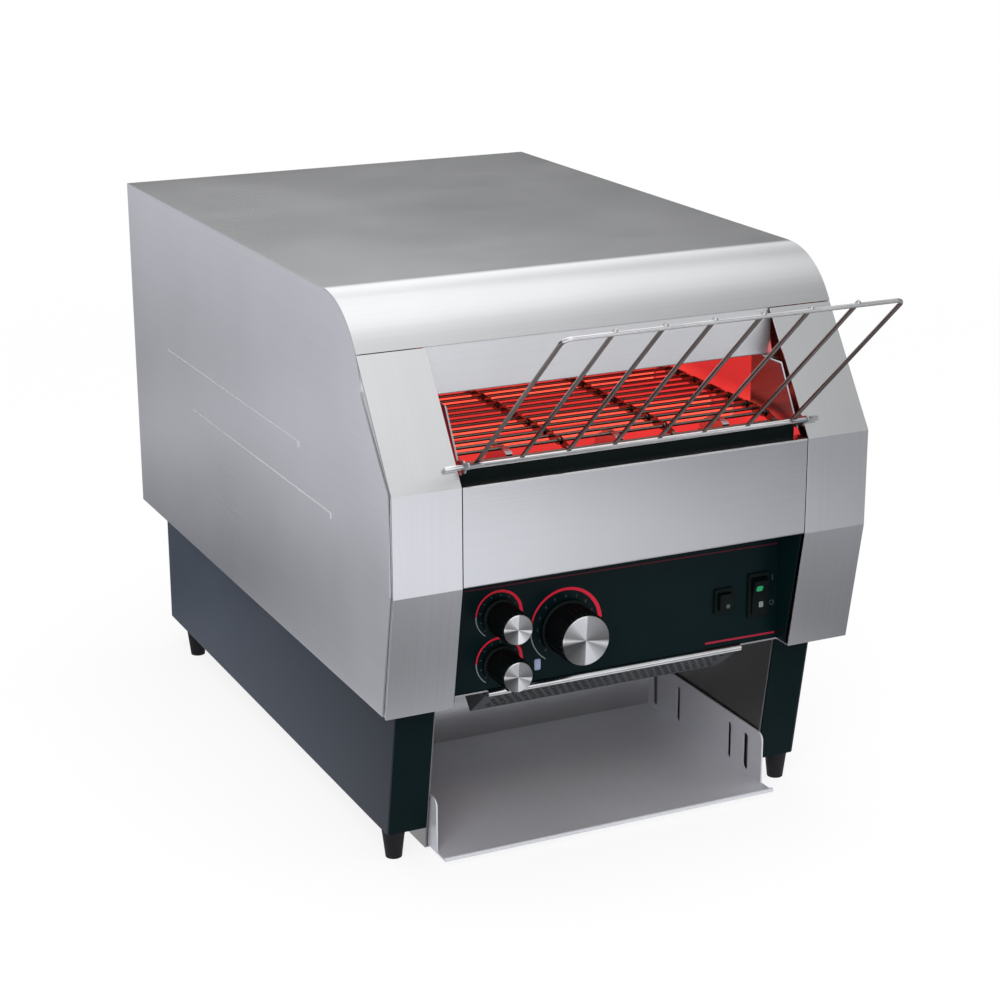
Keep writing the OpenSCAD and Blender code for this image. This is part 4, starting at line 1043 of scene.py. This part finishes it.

# %% [markdown]
# ## Spun metal
# A cap turned in a lathe is covered in fine rings, so its highlights fan out from the centre
# as bright wedges. Anisotropy along the turning direction gives the soft part of that. The
# wedges depend on every lamp and wall around, so they are also painted into the cap's colour
# as levels round it: painted highlights and painted shade.

# %% Spun metal
TURNS = "turning"
PAINTED_HIGHLIGHT_WEDGES = ((0.0, 0.26), (0.06, 0.34), (0.16, 0.50), (0.235, 0.62), (0.25, 1.50),
          (0.33, 1.70), (0.38, 1.0), (0.42, 0.62), (0.455, 0.55), (0.478, 1.6), (0.495, 0.7),
          (0.515, 0.13), (0.60, 0.15), (0.68, 0.26), (0.735, 0.45), (0.75, 1.50),
          (0.81, 1.60), (0.86, 1.05), (0.92, 0.62), (0.955, 1.5), (0.972, 1.0), (0.985, 0.26))


def spun_metal(name, tone):
    """Reads a map with the share of a turn across and the share of the radius up."""
    material, tree, shader = shader_of(name, Metallic=1.0, Anisotropic=0.9)
    around = node(tree, "ShaderNodeTangent", direction_type="UV_MAP", uv_map=TURNS)
    where = node(tree, "ShaderNodeUVMap", uv_map=TURNS)
    split = node(tree, "ShaderNodeSeparateXYZ")
    join(tree, where.outputs[0], split.inputs[0])
    rings = stretched_noise(tree, (2.0, 60.0, 1.0), detail=3.0, vector=where.outputs[0])
    painted_wedge_tones = node(tree, "ShaderNodeMix", data_type="RGBA", blend_type="MULTIPLY")
    painted_wedge_tones.inputs["Factor"].default_value = 1.0
    # The cap's colour is multiplied by bright and dark wedges round it: painted highlights and shade.
    join(tree, two_tones(tree, rings, scaled((1, 1, 1), tone * 0.9), scaled((1, 1, 1), tone)),
         painted_wedge_tones.inputs["A"],
         curve_of(tree, maths(tree, "FRACT", split.outputs["X"]), PAINTED_HIGHLIGHT_WEDGES), painted_wedge_tones.inputs["B"],
         around.outputs[0], shader.inputs["Tangent"])
    finish_with(tree, shader, painted_wedge_tones.outputs["Result"], rings, 0.24, 0.34)
    return material


cap_metal = spun_metal("spun_cap", 0.72)
print("finishes", len(bpy.data.materials))

# %% [markdown]
# ## Knobs
# Each knob is a black fluted grip on a wider skirt, with a bright spun cap let into its face.
# Grip and skirt are turned, and the ridges between the flutes are spread round them. Making
# them as one merged mesh would only add faces where nobody looks, so the ridges just stand in
# the grip.

# %% The grip and its ridges
KNOB_OUT = 31.5 * MM
CAP_THICK = 1.6 * MM
SKIRT_LOW, SKIRT_HIGH = 1.8 * MM, 5.2 * MM
RIDGE_LENGTH, RIDGE_WIDTH = 1.7 * MM, 1.15 * MM
RIDGE_CORNER, RIDGE_EDGE = 0.55 * MM, 0.45 * MM
RIDGE_SEAT = 0.1 * MM
RIDGES_PER_MM = 1.6


def knob_body_mesh(name, cap_r):
    grip = cap_r + 0.35 * MM
    skirt = cap_r + 2.6 * MM
    face = KNOB_OUT - CAP_THICK
    bm = turned([
        (0, SKIRT_LOW), (skirt - 0.5 * MM, SKIRT_LOW), (skirt, SKIRT_LOW + 0.5 * MM),
        (skirt, SKIRT_HIGH - 0.6 * MM), (skirt - 0.6 * MM, SKIRT_HIGH), (grip, SKIRT_HIGH),
        (grip - 0.2 * MM, face - 0.8 * MM), (grip - 0.7 * MM, face), (0, face)])
    body = mesh_of(bm, name + "_grip")
    ridge = rounded_box(RIDGE_LENGTH, RIDGE_WIDTH, face - SKIRT_HIGH + 2 * RIDGE_SEAT,
                        RIDGE_CORNER, RIDGE_EDGE)
    count = round(cap_r / MM * RIDGES_PER_MM)
    ridges = spread(name + "_ridges", mesh_of(ridge, "ridge"), black_plastic, count,
                    radius=grip, step=2 * math.pi / count)
    ridges.transform(Matrix.Translation((0, 0, SKIRT_HIGH - RIDGE_SEAT)))
    joined = bmesh.new()
    joined.from_mesh(body)
    joined.from_mesh(ridges)
    mesh = bpy.data.meshes.new(name + "_body")
    joined.to_mesh(mesh)
    joined.free()
    mesh.set_sharp_from_angle(angle=SHARP_ANGLE)
    return mesh


# %% [markdown]
# ### The cap
# The cap is a second piece on the same body, because it has a finish of its own. Its map
# runs round with the angle and outwards with the radius. A face at the seam would jump from
# one end of the map to the other, so each corner's angle is brought near its face's angle.

# %% The cap
CAP_STEPS = 128
DISH = 0.30 * MM


def cap_mesh(name, cap_r):
    rim = cap_r - 0.9 * MM
    bm = turned([
        (0, KNOB_OUT - DISH), (cap_r * 0.1, KNOB_OUT - DISH),
        (rim * 0.5, KNOB_OUT - DISH + 0.10 * MM), (rim, KNOB_OUT),
        (cap_r - 0.4 * MM, KNOB_OUT), (cap_r, KNOB_OUT - 0.4 * MM),
        (cap_r, KNOB_OUT - CAP_THICK), (0, KNOB_OUT - CAP_THICK)], CAP_STEPS)
    turning = bm.loops.layers.uv.new(TURNS)
    for face in bm.faces:
        middle = face.calc_center_median()
        base = math.atan2(middle.y, middle.x)
        for loop in face.loops:
            x, y = loop.vert.co.xy
            radius = math.hypot(x, y)
            angle = math.atan2(y, x) if radius > SAME_PLACE else base
            angle = base + (angle - base + math.pi) % (2 * math.pi) - math.pi
            loop[turning].uv = (angle / (2 * math.pi), radius / cap_r)
    return mesh_of(bm, name + "_cap")


# %% [markdown]
# ### Put the knobs on
# Each knob sits on its own pivot, so it stays centred when it turns.

# %% Knobs
KNOBS = {
    "upper_heat_knob": ("upper_heat_turn", 10.8 * MM),
    "lower_heat_knob": ("lower_heat_turn", 10.8 * MM),
    "speed_knob": ("speed_turn", 18.0 * MM),
}
for knob_name, (joint_name, cap_r) in KNOBS.items():
    pivot = joint_point(joint_name)
    for mesh, finish, instead in ((knob_body_mesh(knob_name, cap_r), black_plastic, True),
                                  (cap_mesh(knob_name, cap_r), cap_metal, False)):
        mesh.transform(on_front(pivot.x, pivot.z))
        add_piece(mesh.name, mesh, knob_name, finish, instead)
        print(mesh.name, "faces", len(mesh.polygons))

# %% [markdown]
# ## Arcs of the dials
# Each dial is a printed arc that starts thin and pale at the low end, turns red halfway up
# and grows wider towards the hot end. An arc is a row of numbers: its radius, the angles
# where it starts and ends, its width at both, and how many steps it takes.

# %% Arcs
DIAL_RISE = 0.8 * MM
SMALL_PALE = (17.4 * MM, 234, 178, 0.5 * MM, 0.9 * MM, 16)
SMALL_RED = (17.2 * MM, 178, -3, 0.9 * MM, 2.5 * MM, 48)
BIG_PALE = (27.4 * MM, 235, 178, 0.6 * MM, 1.1 * MM, 20)
BIG_RED = (27.1 * MM, 178, 4, 1.1 * MM, 3.0 * MM, 60)


def dial_centre(joint_name):
    pivot = joint_point(joint_name)
    return pivot.x, pivot.z + DIAL_RISE


def print_on_panel(name, bm, material):
    bmesh.ops.recalc_face_normals(bm, faces=bm.faces)
    mesh = bpy.data.meshes.new(name)
    bm.to_mesh(mesh)
    bm.free()
    mesh.transform(on_front())
    add_piece(name, mesh, "control_panel", material)
    print(name, "faces", len(mesh.polygons))


SMALL_DIALS = [dial_centre("upper_heat_turn"), dial_centre("lower_heat_turn")]
BIG_DIAL = dial_centre("speed_turn")
pale, red = bmesh.new(), bmesh.new()
for centre in SMALL_DIALS:
    arc_band(pale, centre, *SMALL_PALE)
    arc_band(red, centre, *SMALL_RED)
arc_band(pale, BIG_DIAL, *BIG_PALE)
arc_band(red, BIG_DIAL, *BIG_RED)
print_on_panel("dial_arcs_pale", pale, print_white)
print_on_panel("dial_arcs_red", red, print_red)

# %% [markdown]
# ## Ticks of the small dials
# A small dial has no room for numbers, so short ticks divide it. One tick is drawn along X
# and the spreading tree turns its copies outwards.

# %% Ticks
DIAL_START, DIAL_SWEEP = 225, -225
TICKS = 9
TICK_RADIUS = 14.3 * MM
TICK_LENGTH, TICK_WIDTH = 1.5 * MM, 0.5 * MM


def tick_ring(name, centre):
    tick = bmesh.new()
    bar(tick, (-TICK_LENGTH / 2, 0), (TICK_LENGTH / 2, 0), TICK_WIDTH)
    bmesh.ops.recalc_face_normals(tick, faces=tick.faces)
    tick_mesh = bpy.data.meshes.new("tick")
    tick.to_mesh(tick_mesh)
    tick.free()
    mesh = spread(name, tick_mesh, print_dim, TICKS, radius=TICK_RADIUS,
                  start=math.radians(DIAL_START), step=math.radians(DIAL_SWEEP) / (TICKS - 1))
    mesh.transform(on_front(*centre))
    add_piece(name, mesh, "control_panel")


for label, centre in zip(("upper", "lower"), SMALL_DIALS):
    tick_ring(label + "_dial_ticks", centre)
print("ticks on each small dial", TICKS)

# %% [markdown]
# ## Numbers of the large dial
# The speed dial has plain numbers inside its arc. A number is a text object made into a
# mesh, because the font's curves save drawing each digit by hand.

# %% Numbers
NUMBER_RADIUS = 22.0 * MM
NUMBER_HEIGHT = 2.3 * MM
NUMBER_STEP = -22.5
CAPITAL_SHARE = 0.70


def number_mesh(text, centre):
    curve = bpy.data.curves.new("number", "FONT")
    curve.body = text
    curve.size = NUMBER_HEIGHT / CAPITAL_SHARE
    curve.align_x = "CENTER"
    curve.align_y = "CENTER"
    curve.extrude = PRINT_THICK / 2
    curve.resolution_u = 3
    written = bpy.data.objects.new("number", curve)
    bpy.context.scene.collection.objects.link(written)
    depsgraph = bpy.context.evaluated_depsgraph_get()
    mesh = bpy.data.meshes.new_from_object(written.evaluated_get(depsgraph))
    bpy.data.objects.remove(written)
    mesh.transform(Matrix.Translation((*centre, PRINT_THICK / 2)))
    return mesh


numbers = bmesh.new()
for k in range(10):
    angle = math.radians(DIAL_START + NUMBER_STEP * k)
    spot = (BIG_DIAL[0] + NUMBER_RADIUS * math.cos(angle),
            BIG_DIAL[1] + NUMBER_RADIUS * math.sin(angle))
    numbers.from_mesh(number_mesh(str(k), spot))
print_on_panel("dial_numbers", numbers, print_dim)

# %% [markdown]
# ## Marks and lines on the panel
# A short bar sits over each small knob's skirt, and the usual bar and ring stand beside the
# power switch. A dark red line runs along the panel's top and a brighter one along its foot
# on the right. All are placed from the switch's pivot or the panel's own box.

# %% Marks and lines
rocker_pivot = joint_point("power_switch")
panel_low, panel_high = box_of("control_panel")
MARKS_X = rocker_pivot.x + 12.2 * MM
ON_BAR = (rocker_pivot.z + 9.5 * MM, rocker_pivot.z + 13.5 * MM)
OFF_RING_Z = rocker_pivot.z - 8.0 * MM
LINE_END = panel_high.x - 1.4 * MM

marks = bmesh.new()
for x, z in SMALL_DIALS:
    bar(marks, (x - 5.0 * MM, z + 8.0 * MM), (x + 4.0 * MM, z + 8.0 * MM), 0.9 * MM)
bar(marks, (MARKS_X, ON_BAR[0]), (MARKS_X, ON_BAR[1]), 0.7 * MM)
arc_band(marks, (MARKS_X, OFF_RING_Z), 1.7 * MM, 0, 360, 0.6 * MM, 0.6 * MM, 24)
print_on_panel("switch_marks", marks, print_dim)

top_line = bmesh.new()
bar(top_line, (-LINE_END, panel_high.z - 14.0 * MM), (LINE_END, panel_high.z - 16.2 * MM),
    1.0 * MM)
print_on_panel("top_line", top_line, line_red)
foot_line = bmesh.new()
bar(foot_line, (panel_high.x - 60.4 * MM, panel_low.z + 4.4 * MM),
    (panel_high.x - 1.7 * MM, panel_low.z + 3.8 * MM), 1.5 * MM)
print_on_panel("foot_line", foot_line, foot_red)

# %% [markdown]
# ## Rocker, button and bezels
# The switches keep their own shapes with rounder edges. The bezel's rounding stays small, so
# that the rocker has room to tilt into it.

# %% Round the switches
SOFTNESS = {"power_rocker": 0.6 * MM, "saver_button": 0.6 * MM, "switch_bezels": 0.24 * MM}
for switch_name, softness in SOFTNESS.items():
    rounded_sheet(switch_name, softness, softness / 2)

# %% [markdown]
# ## Window and marks on the switches
# A lit green window and a pale mark are let into the rocker, and another mark into the
# button. Each rides with its switch. The rocker rests tilted, so a ray from the front finds
# the point where a patch sits and the direction that its face looks in.

# %% Patches
PATCH_ROOT = 0.3 * MM
PATCH_SLOPE = 0.6
PATCHES = (
    # switch, name, right and up from its middle, width and height, corner and thickness in
    # millimetres, finish
    ("power_rocker", "rocker_window", (-1.3, 6.2), (5.4, 4.6), 1.6, 0.25, green_lens),
    ("power_rocker", "rocker_mark", (1.2, -6.8), (3.6, 4.4), 0.8, 0.2, print_white),
    ("saver_button", "button_mark", (1.5, -3.2), (3.2, 3.2), 1.2, 0.3, print_dim),
)
SWITCH_MIDDLES = {"power_rocker": rocker_pivot, "saver_button": middle_of("saver_button")}


def front_of(node_name, x, z):
    """Point and normal where a ray from the front meets a node."""
    bm = bmesh.new()
    bm.from_mesh(frame["nodes"][node_name].data)
    tree = BVHTree.FromBMesh(bm)
    place, normal, *_ = tree.ray_cast(Vector((x, -1, z)), Vector((0, 1, 0)))
    bm.free()
    return place, normal


def patch_on(node_name, name, x, z, size, corner, thickness, material):
    place, normal = front_of(node_name, x, z)
    right = Vector((1, 0, 0))
    up = normal.cross(right).normalized()
    plate = rounded_box(*size, thickness + PATCH_ROOT, corner, thickness * PATCH_SLOPE)
    mesh = mesh_of(plate, name)
    matrix = Matrix((right, up, normal)).transposed().to_4x4()
    matrix.translation = place - normal * PATCH_ROOT
    mesh.transform(matrix)
    add_piece(name, mesh, node_name, material)
    print(name, "at", [round(v / MM, 1) for v in place])


for switch_name, patch_name, (across, up), size, corner, thickness, finish in PATCHES:
    middle = SWITCH_MIDDLES[switch_name]
    patch_on(switch_name, patch_name, middle.x + across * MM, middle.z + up * MM,
             [side * MM for side in size], corner * MM, thickness * MM, finish)

# %% [markdown]
# ## Indicator lamp
# The lamp is a small lens with a soft edge, a little proud of the panel. It takes the place
# of the plain disc in the frame.

# %% Lamp lens
LENS_WIDTH, LENS_HEIGHT, LENS_OUT = 4.8 * MM, 8.2 * MM, 1.2 * MM
lamp_middle = middle_of("indicator_lamp")
lens = mesh_of(rounded_box(LENS_WIDTH, LENS_HEIGHT, LENS_OUT, 1.2 * MM, 0.5 * MM), "lamp_lens")
lens.transform(on_front(lamp_middle.x - 0.2 * MM, lamp_middle.z + 0.1 * MM))
add_piece("lamp_lens", lens, "indicator_lamp", lamp_lens, instead=True)
print("lamp lens faces", len(lens.polygons))

# %% [markdown]
# ## Wire rack
# The pivot rod and the top bar stay bright. The sloping wires lie over the hot mouth and are
# painted darker and brownish there: painted shade and a painted reflection of the dark,
# red-lit mouth. A copy of the rack's mesh is merged, then each face picks its finish by where
# it lies along the rack.

# %% Rack
RACK_RISE = math.radians(41.5)
RACK_LENGTH = 170.5 * MM
ROD_REACH, BAR_REACH = 2.4 * MM, 1.9 * MM
rack_pivot = joint_point("rack_fold")
rack_along = Vector((0, -math.cos(RACK_RISE), math.sin(RACK_RISE)))


def rack_wires():
    bm = bmesh.new()
    bm.from_mesh(frame["nodes"]["feed_rack"].data)
    bmesh.ops.remove_doubles(bm, verts=bm.verts, dist=SAME_PLACE)
    mesh = mesh_of(bm, "rack_wires")
    add_piece("rack_wires", mesh, "feed_rack", wire_bright, instead=True)
    mesh.materials.append(wire_painted_dark)
    # Faces along the sloping wires take the darker finish: painted shade and reflection.
    for face in mesh.polygons:
        reach = (face.center - rack_pivot).dot(rack_along)
        face.material_index = int(ROD_REACH < reach < RACK_LENGTH - BAR_REACH)
    return mesh


rack_mesh = rack_wires()
print("tinted faces", sum(face.material_index for face in rack_mesh.polygons),
      "of", len(rack_mesh.polygons))

# %% [markdown]
# ## Weld beads
# Each inner wire is spot welded to the top bar, which leaves a small lump. One flat turned
# bead is spread in a row with the wires' own pitch.

# %% Weld beads
RACK_WIDTH = 244 * MM
WIRES = 8
BEAD_PROFILE = [(0, -0.9 * MM), (1.2 * MM, -0.7 * MM), (1.8 * MM, 0), (1.2 * MM, 0.9 * MM),
                (0, 1.2 * MM)]
pitch = RACK_WIDTH / (WIRES - 1)
beads = spread("rack_welds", mesh_of(turned(BEAD_PROFILE, 12), "bead"), wire_bright, WIRES - 2,
               shift=(pitch, 0, 0))
top_bar = rack_pivot + rack_along * (RACK_LENGTH + 0.9 * MM)
beads.transform(Matrix.Translation((pitch - RACK_WIDTH / 2, top_bar.y + 0.6 * MM,
                                    top_bar.z + 0.8 * MM)))
add_piece("rack_welds", beads, "feed_rack")
print("weld beads", WIRES - 2, "pitch in mm", round(pitch / MM, 2))
